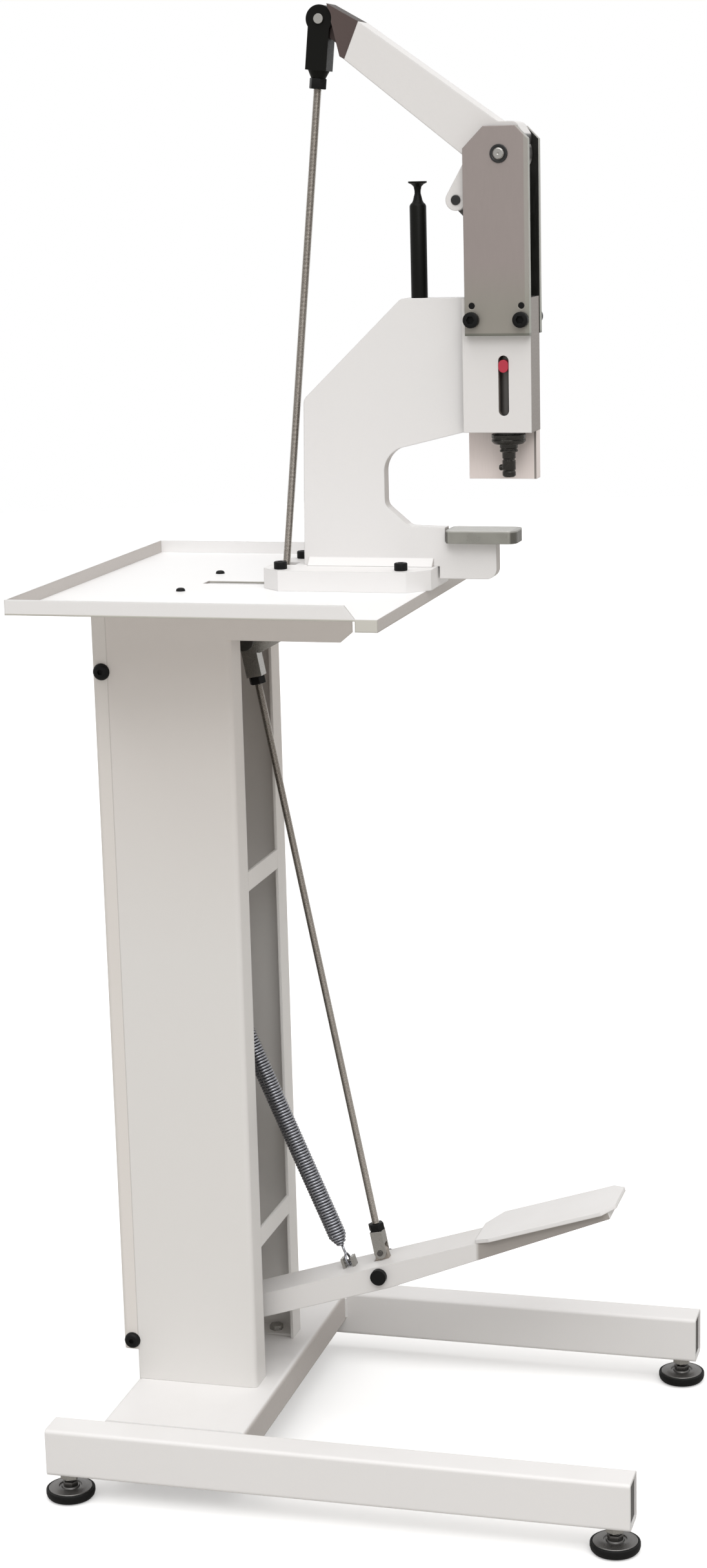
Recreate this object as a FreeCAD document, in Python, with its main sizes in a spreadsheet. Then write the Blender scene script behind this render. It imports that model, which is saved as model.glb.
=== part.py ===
"""Free-standing eyelet machine worked by a pedal.

A column on two foot rails carries a tray and a C-shaped frame. The pedal pulls a rod that
tips a transfer lever inside the column. The transfer lever pulls a second rod, which tips
the upper lever, and a toggle link pushes the ram and its setting tool down.

Frame: x to the right of the worker, -y towards the worker, z up, origin on the floor in
the middle of the base.  All sizes are millimetres and degrees.
"""
import FreeCAD, Part
import math
import os
import re

import Sketcher

Vector = FreeCAD.Vector
Rotation = FreeCAD.Rotation

# Driving dimensions. Heights and distances are measured from the neighbour they belong to.
SIZES = {
    # feet and rails
    "foot_height": 29, "foot_radius": 25, "foot_inset": 18, "pad_rim": 11.5, "pad_dish": 1.5,
    "pad_top_radius": 21, "stud_radius": 5, "stud_length": 46, "stud_hex": 14, "stud_hex_height": 5,
    "foot_nut": 17, "foot_nut_height": 8, "over": 1,
    "rail_length": 600, "rail_width": 36, "rail_height": 50, "rail_wall": 3, "rail_gauge": 412,
    "rail_round": 4, "cap_recess": 2, "cap_plug": 9,
    # cross-member
    "cross_setback": 50, "cross_depth": 151, "cross_height": 32, "sheet": 3, "bend": 5,
    # column
    "column_width": 165, "column_setback": 52, "column_depth": 129, "column_height": 831,
    "front_lip": 32, "rear_lip": 15, "floor_flange": 24, "arm_height": 43, "arm_length": 124,
    "arm_slant": 12, "arm_rise": 10, "crossbar_height": 20, "upper_bar_rise": 537,
    "lower_bar_rise": 155, "column_bolt": 13, "column_bolt_inset": 24,
    "column_bolt_radius": 4, "column_bolt_head": 5, "column_bolt_nut": 7, "column_bolt_end": 12,
    # rear cover and the two rear pivots
    "cover_depth": 16, "cover_sheet": 2, "cover_rise": 33, "pivot_setback": 6,
    "pedal_pivot_rise": 43, "lever_pivot_drop": 77, "pivot_radius": 5, "pivot_head_radius": 8.5,
    "pivot_head_height": 5, "pivot_head_rim": 2, "pivot_crown_radius": 4.7, "pivot_head_hex": 6,
    "hub_wall": 2.4, "sleeve_wall": 0.8,
    # tray and its support
    "tray_sheet": 2, "tray_width": 445.2, "tray_setback": 5, "tray_depth": 363.6,
    "tray_lip": 12.7, "tray_fold": 12, "tray_lip_end": 21.6, "tray_lip_slope": 10,
    "rod_slot_width": 20, "rod_slot_setback": 131, "rod_slot_length": 92,
    "support_thickness": 8, "support_rim": 18, "support_setback": 64,
    "tray_screw_spread": 126, "tray_screw_setback": 125.5, "tray_screw_radius": 4.6,
    "tray_screw_height": 3, "tray_screw_crown": 3, "tray_screw_hex": 3,
    # C-frame
    "flange_width": 110, "flange_thickness": 20, "flange_setback": 203, "flange_depth": 170,
    "flange_corner": 20, "flange_notch": 20, "flange_notch_depth": 25, "frame_screw_spread": 80,
    "frame_screw_rear": 19, "frame_screw_pitch": 122, "screw_radius": 4, "screw_head_radius": 6.5,
    "screw_head": 7.5, "screw_hex": 6, "screw_hex_depth": 4, "plate_thickness": 16,
    "weld_leg": 8, "reach": 263, "frame_height": 258, "frame_back_gap": 1.5, "frame_lean": 4,
    "frame_back_height": 162, "frame_top_run": 102.5, "head_gap_rear": 40, "head_bottom": 131,
    "throat_back": 123, "throat_roof": 111, "throat_floor": 60, "throat_foot": 39,
    "throat_foot_run": 98.5, "arm_top": 38, "anvil_step": 63, "anvil_seat": 23.9,
    "nose_front": 12, "nose_bottom": 12, "nose_rear": 69, "throat_round": 24, "floor_round": 10,
    "anvil_width": 40, "anvil_thickness": 12.5, "anvil_front": 9.5, "anvil_overhang": 60.7,
    "anvil_front_round": 10, "anvil_rear_round": 6, "weld_inset": 4,
    # head
    "head_width": 40, "head_front": 27, "ram_radius": 13, "ram_fit": 0.06, "slot_width": 10,
    "slot_bottom": 16, "slot_height": 57, "guide_thickness": 17, "guide_rear": 44,
    "guide_front": 23, "guide_drop": 48, "guide_rise": 87, "side_thickness": 9,
    "side_rear": 35, "side_front": 27.6, "side_overlap": 35, "side_rise": 25.3,
    "side_slant": 20, "side_slant_front": 12, "head_screw_rear": 28, "head_screw_front": 20,
    "head_screw_rise": 15, "head_screw_radius": 3, "head_screw_head_radius": 7.5,
    "head_screw_head": 8, "head_screw_hex": 7, "head_screw_hex_depth": 4, "head_screw_end": 2,
    "dowel_radius": 3, "dowel_rise": 13,
    "stop_radius": 8, "stop_back": 86, "stop_length": 95, "stop_neck": 14, "stop_neck_radius": 4.2,
    "stop_disc_radius": 9, "stop_disc": 4,
    # upper lever
    "lever_rise": 132.6, "lever_width": 36, "lever_hub": 22.4, "lever_pin_radius": 7.5,
    "lever_pin_end_radius": 5.5, "lever_pin_proud": 2,
    "lever_reach": 136, "lever_tip_top": 123.4, "lever_tip_back": 14.5, "lever_tip_depth": 34,
    "crown_rise": 29.4, "crown_rear": 3, "crown_front": 14, "brow_front": 22, "brow_rise": 17,
    "crown_round": 7, "chin_front": 18, "chin_drop": 13.4, "web_rear": 34, "web_drop": 3,
    "crank_back": 44.5, "crank_drop": 41.6, "crank_pin_radius": 4.5, "crank_hub": 10, "lobe_turn": 26,
    "fork_roof": 2, "crank_pin_proud": 1,
    "link_thickness": 12, "link_gap": 0.4, "tongue_width": 10, "rod_joint_back": 176,
    "rod_joint_rise": 127.4, "tip_run": 31, "tip_rise": 17.5, "tip_step": 2, "tip_toe_run": 5,
    "tip_toe_rise": 3, "tongue_radius": 11, "neck_low_run": 6, "neck_low_rise": 12,
    "neck_top_run": 20, "clip_radius": 9, "clip_thickness": 1.2,
    # ram and tool
    "link_length": 64, "ram_tail": 12, "ram_slack": 5.2, "ram_ease": 0.2,
    "ram_foot": 2.5, "foot_pin_radius": 4, "foot_pin_inset": 1, "link_end": 7.5,
    "ram_gap_room": 2, "indicator_seat": 3, "tool_flange_radius": 16.5, "tool_flange": 9.5,
    "tool_neck_radius": 8.8, "tool_neck": 8, "tool_stem_radius": 6.5, "tool_stem": 24,
    "tool_nub_radius": 3, "tool_nub_rise": 9,
    "indicator_height": 12, "indicator_drop": 109, "indicator_proud": 1.5,
    # rods
    "rod_radius": 4, "fork_radius": 13, "fork_width": 23, "fork_length": 54,
    "fork_depth": 10.4, "fork_gap_depth": 17, "fork_shoulder": 7, "fork_shoulder_end": 7,
    "rod_nut": 14.5, "rod_nut_height": 8,
    "fork_nut_height": 10, "fork_bolt_radius": 4, "fork_bolt_head_radius": 4.6,
    "fork_bolt_head": 3, "running_fit": 0.05, "air": 0.4,
    # transfer lever and the rod ends in it
    "transfer_gap": 20, "transfer_plate": 5, "pull_eye_out": 165, "pull_eye_rise": 47,
    "pedal_eye_out": 127.5, "pedal_eye_rise": 23, "eye_radius": 8, "eye_length": 20,
    "pedal_eye_length": 39,
    "eye_pin_radius": 4, "washer_radius": 10.5, "washer_thickness": 2.4, "pull_slack": 22,
    "pull_slack_drop": 6, "pull_slack_rise": 1, "pedal_slack": 6.2, "pedal_slack_rise": 0.9,
    "window_margin": 0.6, "window_run": 1, "transfer_rim": 7.5, "transfer_rear": 2,
    "pull_boss_rear": 14, "pull_boss_front": 5, "pedal_boss_rear": 20, "pedal_boss_front": 9,
    "spacer_out": 55, "spacer_rise": 12,
    # pedal
    "pedal_slope": 17.7, "pedal_width": 50, "pedal_height": 25, "pedal_sheet": 3,
    "pedal_sink": 1.5, "pedal_tail": 6, "pedal_length": 520.5, "pedal_taper": 250,
    "pedal_nose": 7, "footplate_thickness": 4, "footplate_back": 144.5, "footplate_flare": 16,
    "footplate_length": 152.5, "footplate_near": 31, "footplate_far": 50, "footplate_chamfer": 14,
    "lug_out": 265.6, "lug_rise": 8.1, "lug_thickness": 8, "lug_bolt_back": 2.2,
    "lug_bolt_drop": 10.1, "lug_bolt_radius": 5, "lug_radius": 6.5, "bolt_head_radius": 8.3,
    "bolt_head": 6, "clevis_width": 14, "clevis_length": 23.5, "clevis_radius": 6.4,
    "clevis_gap_room": 3, "clip_pin_radius": 3, "clip_pin_head": 1.5, "clip_nub": 4,
    "clip_nub_gap": 1, "clip_nub_radius": 4.4, "lug_foot_radius": 8.5,
    # return spring
    "spring_out": 227, "spring_rise": 5.8, "spring_side": 0, "ear_gap": 8, "ear_thickness": 3,
    "ear_width": 10, "ear_pin_radius": 2, "anchor_setback": 98, "anchor_rise": 499,
    "spring_radius": 10, "spring_wire": 3, "spring_cone": 12, "hook_radius": 6,
    "spring_mouth": 4, "spring_bore": 2, "spring_lip": 1.5, "spring_lead": 10, "hook_gap": 0.3,
    "eyebolt_end": 8, "eyebolt_nut": 4, "eyebolt_radius": 6, "eyebolt_wire": 4, "spring_bar_width": 24, "spring_bar": 6,
}

# Dimensions that follow from the ones above.
DERIVED = {
    "rear_end": "rail_length / 2",
    "deck": "foot_height + rail_height",
    "rail_x": "rail_gauge / 2",
    "foot_y": "rear_end - foot_inset",
    "cross_rear": "rear_end - cross_setback",
    "cross_front": "cross_rear - cross_depth",
    "cross_half": "rail_x - rail_width / 2",
    "side": "column_width / 2",
    "inner": "side - sheet",
    "column_rear": "rear_end - column_setback",
    "column_front": "column_rear - column_depth",
    "column_top": "deck + column_height",
    "arm_z": "column_top - arm_height",
    "arm_front": "column_front - arm_length",
    "cover_rear": "column_rear + cover_depth",
    "pivot_y": "column_rear + pivot_setback",
    "pedal_z": "deck + pedal_pivot_rise",
    "transfer_z": "column_top - lever_pivot_drop",
    "hub_outer": "pivot_radius + hub_wall",
    "tray_top": "column_top + tray_sheet",
    "tray_half": "tray_width / 2",
    "tray_rear": "rear_end - tray_setback",
    "tray_front": "tray_rear - tray_depth",
    "slot_rear": "rear_end - rod_slot_setback",
    "slot_front": "slot_rear - rod_slot_length",
    "support_z": "column_top - support_thickness",
    "flange_rear": "rear_end - flange_setback",
    "flange_front": "flange_rear - flange_depth",
    "flange_top": "tray_top + flange_thickness",
    "flange_side": "flange_width / 2",
    "notch_side": "flange_notch / 2",
    "notch_end": "flange_rear - flange_notch_depth",
    "frame_screw_y": "flange_rear - frame_screw_rear",
    "tool_y": "column_front - reach",
    "frame_top": "flange_top + frame_height",
    "head_rear": "tool_y + head_gap_rear",
    "head_bottom_z": "flange_top + head_bottom",
    "head_front_y": "tool_y - head_front",
    "head_half": "head_width / 2",
    "anvil_z": "flange_top + anvil_seat",
    "bore_radius": "ram_radius + ram_fit",
    "guide_top": "head_bottom_z + guide_rise",
    "side_bottom": "frame_top - side_overlap",
    "lever_z": "frame_top + lever_rise",
    "side_top": "lever_z + side_rise",
    "side_outer": "head_half + side_thickness",
    "lever_pin_end": "side_outer + clip_thickness + lever_pin_proud",
    "lever_half": "lever_width / 2",
    "crank_y": "tool_y + crank_back",
    "crank_z": "lever_z - crank_drop",
    "joint_y": "tool_y + rod_joint_back",
    "joint_z": "lever_z + rod_joint_rise",
    "crank_pin_end": "lever_half + crank_pin_proud",
    "tip_y": "tool_y + lever_reach",
    "tip_z": "lever_z + lever_tip_top",
    "tip_low_y": "tip_y + lever_tip_back",
    "tip_low_z": "tip_z - lever_tip_depth",
    "ram_pin_z": "crank_z - sqrt(link_length * link_length - crank_back * crank_back)",
    "link_angle": "atan2(crank_back; crank_z - ram_pin_z)",
    "link_slot": "link_thickness / 2 + link_gap",
    "tool_top": "head_bottom_z - ram_foot",
    "indicator_z": "ram_pin_z - indicator_drop",
    "pull_eye_y": "pivot_y - pull_eye_out",
    "pull_eye_z": "transfer_z + pull_eye_rise",
    "pull_dy": "pull_eye_y - joint_y",
    "pull_dz": "joint_z - pull_eye_z",
    "pull_length": "sqrt(pull_dy * pull_dy + pull_dz * pull_dz)",
    "pull_angle": "atan2(pull_dy; pull_dz)",
    "frame_back_y": "(pull_eye_y + joint_y) / 2 - frame_back_gap",
    "pedal_eye_y": "pivot_y - pedal_eye_out",
    "pedal_eye_z": "transfer_z + pedal_eye_rise",
    "lug_height": "lug_rise - pedal_sink",
    "lug_y": "pivot_y - lug_out * cos(pedal_slope) + lug_height * sin(pedal_slope)",
    "lug_z": "pedal_z + lug_out * sin(pedal_slope) + lug_height * cos(pedal_slope)",
    "pedal_dy": "pedal_eye_y - lug_y",
    "pedal_dz": "pedal_eye_z - lug_z",
    "pedal_rod_length": "sqrt(pedal_dy * pedal_dy + pedal_dz * pedal_dz)",
    "pedal_rod_angle": "atan2(pedal_dy; pedal_dz)",
    "ear_height": "spring_rise - pedal_sink",
    "ear_y": "pivot_y - spring_out * cos(pedal_slope) + ear_height * sin(pedal_slope)",
    "ear_z": "pedal_z + spring_out * sin(pedal_slope) + ear_height * cos(pedal_slope)",
    "anchor_y": "rear_end - anchor_setback",
    "anchor_z": "deck + anchor_rise",
    "spring_dy": "anchor_y - ear_y",
    "spring_dz": "anchor_z - ear_z",
    "spring_length": "sqrt(spring_dy * spring_dy + spring_dz * spring_dz)",
    "spring_angle": "atan2(spring_dy; spring_dz)",
    "pedal_half": "pedal_width / 2",
    "pedal_under": "pedal_sink + pedal_height",
    "footplate_rear": "pedal_length - footplate_back",
    "fork_side": "fork_width / 2",
    "clevis_side": "clevis_width / 2",
    "half_gap": "transfer_gap / 2",
    "plate_outer": "half_gap + transfer_plate",
}

doc = FreeCAD.newDocument("eyelet_machine")
sheet = doc.addObject("Spreadsheet::Sheet", "sizes")
for row, (alias, value) in enumerate(SIZES.items(), start=1):
    sheet.set("A%d" % row, alias)
    sheet.set("B%d" % row, str(value))
    sheet.setAlias("B%d" % row, alias)
doc.recompute()

nodes = []


def expand(formula):
    """Write a formula of plain names as an expression on the sheet's cells."""
    def swap(match):
        name = match.group(0)
        if name in DERIVED:
            return "(" + expand(DERIVED[name]) + ")"
        if name in SIZES:
            return "sizes." + name
        return name
    return re.sub(r"[A-Za-z_]\w*", swap, str(formula))


def bind(thing, prop, formula):
    thing.setExpression(prop, expand(formula))


def place(thing, x, y, z):
    bind(thing, "Placement.Base.x", x)
    bind(thing, "Placement.Base.y", y)
    bind(thing, "Placement.Base.z", z)


def tilt(thing, y, z, angle):
    """Stand a piece that was built round the origin at (y, z), leaning back by an angle."""
    thing.Placement = FreeCAD.Placement(Vector(0, 0, 0), Rotation(Vector(-1, 0, 0), 10))
    bind(thing, "Placement.Rotation.Angle", angle)
    place(thing, 0, y, z)


def node(thing, label):
    thing.Label = label
    nodes.append(thing)
    return thing


def box(name, x, y, z):
    """A block between three pairs of planes."""
    block = doc.addObject("Part::Box", name)
    for prop, (low, high) in (("Length", x), ("Width", y), ("Height", z)):
        bind(block, prop, "(%s) - (%s)" % (high, low))
    place(block, x[0], y[0], z[0])
    return block


TURNS = {
    "x": Rotation(Vector(0, 1, 0), 90),
    "y": Rotation(Vector(1, 0, 0), -90),
    "z": Rotation(Vector(0, 0, 1), 0),
}


def along(thing, axis, start, across):
    """Lay a round piece along an axis; across holds its two other coordinates in order."""
    thing.Placement = FreeCAD.Placement(Vector(0, 0, 0), TURNS[axis])
    spot = list(across)
    spot.insert("xyz".index(axis), start)
    place(thing, *spot)
    return thing


def rod(name, axis, ends, across, radius):
    cylinder = doc.addObject("Part::Cylinder", name)
    bind(cylinder, "Radius", radius)
    bind(cylinder, "Height", "(%s) - (%s)" % (ends[1], ends[0]))
    return along(cylinder, axis, ends[0], across)


def cone(name, axis, ends, across, first, second):
    taper = doc.addObject("Part::Cone", name)
    bind(taper, "Radius1", first)
    bind(taper, "Radius2", second)
    bind(taper, "Height", "(%s) - (%s)" % (ends[1], ends[0]))
    return along(taper, axis, ends[0], across)


def hexagon(name, axis, ends, across, flats):
    """A hexagonal bar, given by its width across the flats."""
    prism = doc.addObject("Part::Prism", name)
    prism.Polygon = 6
    bind(prism, "Circumradius", "(%s) / sqrt(3)" % flats)
    bind(prism, "Height", "(%s) - (%s)" % (ends[1], ends[0]))
    return along(prism, axis, ends[0], across)


def fuse(name, *parts):
    union = doc.addObject("Part::MultiFuse", name)
    union.Shapes = list(parts)
    return union


def settled(name, piece):
    """A piece with its place inside its shape, so that it can be tilted with its neighbours."""
    copy = doc.addObject("Part::Refine", name)
    copy.Source = piece
    return copy


def cut(name, base, *tools):
    difference = doc.addObject("Part::Cut", name)
    difference.Base = base
    difference.Tool = tools[0] if len(tools) == 1 else fuse(name + "_tools", *tools)
    return difference


def tube(name, axis, ends, across, outer, inner):
    return cut(name, rod(name + "_outer", axis, ends, across, outer),
               rod(name + "_inner", axis, ends, across, inner))


def slot(name, x, y, z, radius):
    """A round-ended slot cutter along x: y and z hold the centres of its two ends."""
    def widened(centre):
        return "(%s) - (%s)" % (centre, radius), "(%s) + (%s)" % (centre, radius)

    ends = [rod("%s_end%d" % (name, i), "x", x, (y[i], z[i]), radius) for i in (0, 1)]
    if y[0] == y[1]:
        middle = box(name + "_middle", x, widened(y[0]), z)
    else:
        middle = box(name + "_middle", x, y, widened(z[0]))
    return fuse(name, middle, *ends)


def origin_plane(body, role):
    return next(item for item in body.Origin.OriginFeatures if item.Role == role)


def profile(name, plane, offset, depth, outline, rounds=()):
    """A plate: an outline of (u, v) formulas on an origin plane, padded from an offset.

    rounds holds (radius, corner numbers) pairs, and each corner's edge gets that fillet.
    """
    body = doc.addObject("PartDesign::Body", name)
    sketch = body.newObject("Sketcher::SketchObject", name + "_sketch")
    sketch.AttachmentSupport = [(origin_plane(body, plane), "")]
    sketch.MapMode = "FlatFace"
    bind(sketch, "AttachmentOffset.Base.z", offset)
    count = len(outline)
    start = [Vector(50 * math.cos(math.tau * i / count), 50 * math.sin(math.tau * i / count), 0)
             for i in range(count)]
    sketch.addGeometry([Part.LineSegment(start[i], start[(i + 1) % count]) for i in range(count)])
    sketch.addConstraint([Sketcher.Constraint("Coincident", i, 2, (i + 1) % count, 1)
                          for i in range(count)])
    for corner, point in enumerate(outline):
        for kind, formula, rough in zip(("DistanceX", "DistanceY"), point, start[corner]):
            number = sketch.addConstraint(Sketcher.Constraint(kind, -1, 1, corner, 1, rough))
            bind(sketch, "Constraints[%d]" % number, formula)
    pad = body.newObject("PartDesign::Pad", name + "_pad")
    pad.Profile = sketch
    bind(pad, "Length", depth)
    doc.recompute()
    tip = pad
    for group, (radius, corners) in enumerate(rounds):
        spots = [sketch.Placement.multVec(sketch.getPoint(corner, 1)) for corner in corners]
        fillet = body.newObject("PartDesign::Fillet", "%s_round%d" % (name, group))
        fillet.Base = (tip, corner_edges(tip.Shape, spots, sketch))
        bind(fillet, "Radius", radius)
        doc.recompute()
        tip = fillet
    return body


def corner_edges(shape, spots, sketch):
    """Names of the edges that leave the sketch plane at the given spots."""
    normal = sketch.Placement.Rotation.multVec(Vector(0, 0, 1))
    names = []
    for number, edge in enumerate(shape.Edges, start=1):
        ends = [vertex.Point for vertex in edge.Vertexes]
        if len(ends) < 2:
            continue
        upright = abs((ends[1] - ends[0]).normalize().dot(normal)) > 0.999
        if upright and any(min(end.distanceToPoint(spot) for end in ends) < 1e-4 for spot in spots):
            names.append("Edge%d" % number)
    return names


def ordered(start, end, way):
    """The ends of a span with the lower one first; way is -1 when it runs down its axis."""
    return (start, end) if way > 0 else (end, start)


def cap_screw(name, axis, face, end, across, kind="screw", way=1):
    """A socket cap screw: its head stands on face, its shank runs to end on the other side.

    kind begins the names of its sizes, and way is -1 when the head points down the axis.
    """
    crown = "(%s) + %d * %s_head" % (face, way, kind)
    floor = "%s - %d * %s_hex_depth" % (crown, way, kind)
    beyond = "%s + %d * over" % (crown, way)
    head = rod(name + "_head", axis, ordered(face, crown, way), across, kind + "_head_radius")
    shank = rod(name + "_shank", axis, ordered(end, face, way), across, kind + "_radius")
    socket = hexagon(name + "_socket", axis, ordered(floor, beyond, way), across, kind + "_hex")
    return cut(name, fuse(name + "_solid", head, shank), socket)


# --- Feet: a dished pad, a stud with a hexagon to turn it, and a nut under the rail ---------
for tag, sx, sy in (("front_left", -1, -1), ("front_right", 1, -1),
                    ("rear_left", -1, 1), ("rear_right", 1, 1)):
    spot = ("%d * rail_x" % sx, "%d * foot_y" % sy)
    rim = rod("pad_rim_" + tag, "z", (0, "pad_rim"), spot, "foot_radius")
    dish = cone("pad_dish_" + tag, "z", ("pad_rim", "pad_rim + pad_dish"), spot,
                "foot_radius", "pad_top_radius")
    shank = rod("stud_shank_" + tag, "z", ("pad_rim + pad_dish", "pad_rim + pad_dish + stud_length"),
                spot, "stud_radius")
    turn = hexagon("stud_turn_" + tag, "z",
                   ("pad_rim + pad_dish", "pad_rim + pad_dish + stud_hex_height"), spot, "stud_hex")
    node(fuse("foot_" + tag, rim, dish, shank, turn), "foot_" + tag)

nuts = []
for number, (sx, sy) in enumerate(((-1, -1), (1, -1), (-1, 1), (1, 1))):
    spot = ("%d * rail_x" % sx, "%d * foot_y" % sy)
    nut = hexagon("foot_nut_body%d" % number, "z", ("foot_height - foot_nut_height", "foot_height"),
                  spot, "foot_nut")
    hole = rod("foot_nut_hole%d" % number, "z", ("foot_height - foot_nut_height", "foot_height"),
               spot, "stud_radius + running_fit")
    nuts.append(cut("foot_nut%d" % number, nut, hole))
node(fuse("foot_nuts", *nuts), "foot_nuts")

# --- Rails: rounded tubes with a plug set into each end ---------------------------------------
caps = []
rails = []
for tag, sx in (("left", -1), ("right", 1)):
    centre = "%d * rail_x" % sx
    near, far = centre + " - rail_width / 2", centre + " + rail_width / 2"
    room = (near + " + rail_wall", far + " - rail_wall")
    room_height = ("foot_height + rail_wall", "deck - rail_wall")
    outer = profile("rail_outer_" + tag, "XZ_Plane", "-rear_end", "rail_length", [
        (near, "foot_height"), (far, "foot_height"), (far, "deck"), (near, "deck"),
    ], [("rail_round", (0, 1, 2, 3))])
    hollow = box("rail_hollow_" + tag, room, ("-rear_end - over", "rear_end + over"), room_height)
    holes = [rod("rail_hole_%s%d" % (tag, n), "z",
                 ("foot_height - over", "foot_height + rail_wall + over"),
                 (centre, "%d * foot_y" % sy), "stud_radius + running_fit")
             for n, sy in enumerate((-1, 1))]
    rails.append(cut("foot_rail_" + tag, outer, hollow, *holes))
    for n, sy in enumerate((-1, 1)):
        face = "%d * (rear_end - cap_recess)" % sy
        plug_end = "%d * (rear_end - cap_recess - cap_plug)" % sy
        caps.append(box("cap_%s%d" % (tag, n), room, ordered(plug_end, face, sy), room_height))
node(fuse("rails", *rails), "foot_rails")
node(fuse("caps", *caps), "rail_end_caps")

# --- Cross-member: a folded channel, open below, welded between the rails -------------------
cross = profile("cross_channel", "YZ_Plane", "-cross_half", "2 * cross_half", [
    ("cross_front", "deck"), ("cross_rear", "deck"),
    ("cross_rear", "deck - cross_height"), ("cross_rear - sheet", "deck - cross_height"),
    ("cross_rear - sheet", "deck - sheet"), ("cross_front + sheet", "deck - sheet"),
    ("cross_front + sheet", "deck - cross_height"), ("cross_front", "deck - cross_height"),
], [("bend", (0, 1)), ("bend - sheet", (4, 5))])
bolt_spots = [("%d * (inner - floor_flange / 2)" % sx, y) for sx in (-1, 1)
              for y in ("column_front + column_bolt_inset", "column_rear - column_bolt_inset")]
bolt_holes = [rod("cross_hole%d" % n, "z", ("deck - sheet - over", "deck + over"), spot,
                  "column_bolt_radius + air")
              for n, spot in enumerate(bolt_spots)]
node(cut("cross_drilled", cross, *bolt_holes), "base_crossmember")

# --- Column: two folded sides with lips, arms and floor flanges ------------------------------
for tag, s in (("left", -1), ("right", 1)):
    def at(formula, s=s):
        return "%d * (%s)" % (s, formula)

    def span(low, high, s=s):
        return ordered(at(low), at(high), s)

    wall = profile("column_wall_" + tag, "XY_Plane", "deck", "arm_z - deck", [
        (at("side"), "column_rear"), (at("side"), "column_front"),
        (at("side - front_lip"), "column_front"), (at("side - front_lip"), "column_front + sheet"),
        (at("inner"), "column_front + sheet"), (at("inner"), "column_rear - sheet"),
        (at("side - rear_lip"), "column_rear - sheet"), (at("side - rear_lip"), "column_rear"),
    ], [("bend", (1,)), ("bend - sheet", (4,))])
    start, _ = span("inner", "side")
    arm = profile("column_arm_" + tag, "YZ_Plane", start, "sheet", [
        ("column_rear", "arm_z"), ("column_rear", "column_top"), ("arm_front", "column_top"),
        ("arm_front", "arm_z + arm_rise"), ("arm_front + arm_slant", "arm_z"),
    ])
    floor = box("column_floor_" + tag, span("inner - floor_flange", "inner"),
                ("column_front + sheet", "column_rear - sheet"), ("deck", "deck + sheet"))
    holes = [rod("column_hole_%s%d" % (tag, n), "z", ("deck - over", "deck + sheet + over"), spot,
                 "column_bolt_radius + air")
             for n, spot in enumerate(bolt_spots) if spot[0].startswith("%d " % s)]
    node(cut("column_" + tag, fuse("column_shell_" + tag, wall, arm, floor), *holes), "column_" + tag)

bolts = []
for n, spot in enumerate(bolt_spots):
    name = "column_bolt%d" % n
    head = hexagon(name + "_head", "z", ("deck + sheet", "deck + sheet + column_bolt_head"), spot,
                   "column_bolt")
    shank = rod(name + "_shank", "z", ("deck - sheet - column_bolt_end", "deck + sheet"), spot,
                "column_bolt_radius")
    nut = hexagon(name + "_nut", "z", ("deck - sheet - column_bolt_nut", "deck - sheet"), spot,
                  "column_bolt")
    bolts.append(fuse(name, head, shank, nut))
node(fuse("column_bolts", *bolts), "column_bolts")

bars = [box("crossbar_" + rise, ("front_lip - side", "side - front_lip"),
            ("column_front", "column_front + sheet"),
            ("deck + %s - crossbar_height / 2" % rise, "deck + %s + crossbar_height / 2" % rise))
        for rise in ("upper_bar_rise", "lower_bar_rise")]
node(fuse("crossbars", *bars), "column_crossbars")

# --- Rear cover: a shallow channel that closes the column and carries the two rear pivots ----
cover = profile("cover_channel", "XY_Plane", "deck + cover_rise", "column_top - deck - cover_rise", [
    ("-side", "cover_rear"), ("side", "cover_rear"),
    ("side", "column_rear"), ("inner", "column_rear"),
    ("inner", "cover_rear - cover_sheet"), ("-inner", "cover_rear - cover_sheet"),
    ("-inner", "column_rear"), ("-side", "column_rear"),
], [("bend", (0, 1)), ("bend - sheet", (4, 5))])
pivots = (("pedal", "pedal_z", "pedal_half"), ("transfer", "transfer_z", "plate_outer"))
shaft_holes = [rod("cover_hole_" + tag, "x", ("-side - over", "side + over"), ("pivot_y", z),
                   "pivot_radius + running_fit") for tag, z, _ in pivots]
node(cut("rear_cover", cover, *shaft_holes), "rear_cover")

node(fuse("shafts", *[rod("shaft_" + tag, "x", ("-side", "side"), ("pivot_y", z), "pivot_radius")
                      for tag, z, _ in pivots]), "pivot_shafts")
heads = []
sleeves = []
for tag, z, lever_side in pivots:
    spot = ("pivot_y", z)
    for n, s in enumerate((-1, 1)):
        near_end, far_end = ("%d * (%s)" % (s, text) for text in (lever_side + " + air", "inner"))
        sleeves.append(tube("%s_sleeve%d" % (tag, n), "x", ordered(near_end, far_end, s), spot,
                            "pivot_radius + sleeve_wall", "pivot_radius + running_fit"))
        name = "%s_head%d" % (tag, n)
        face, rim_top, top, beyond = ("%d * (side + %s)" % (s, text) for text in (
            "0", "pivot_head_rim", "pivot_head_height", "pivot_head_height + over"))
        rim = rod(name + "_rim", "x", ordered(face, rim_top, s), spot, "pivot_head_radius")
        crown = cone(name + "_crown", "x", ordered(rim_top, top, s), spot,
                     *ordered("pivot_head_radius", "pivot_crown_radius", s))
        socket = hexagon(name + "_socket", "x", ordered(rim_top, beyond, s), spot, "pivot_head_hex")
        heads.append(cut(name, fuse(name + "_solid", rim, crown), socket))
node(fuse("sleeves", *sleeves), "shaft_spacers")
node(fuse("heads", *heads), "pivot_bolt_heads")

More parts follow.
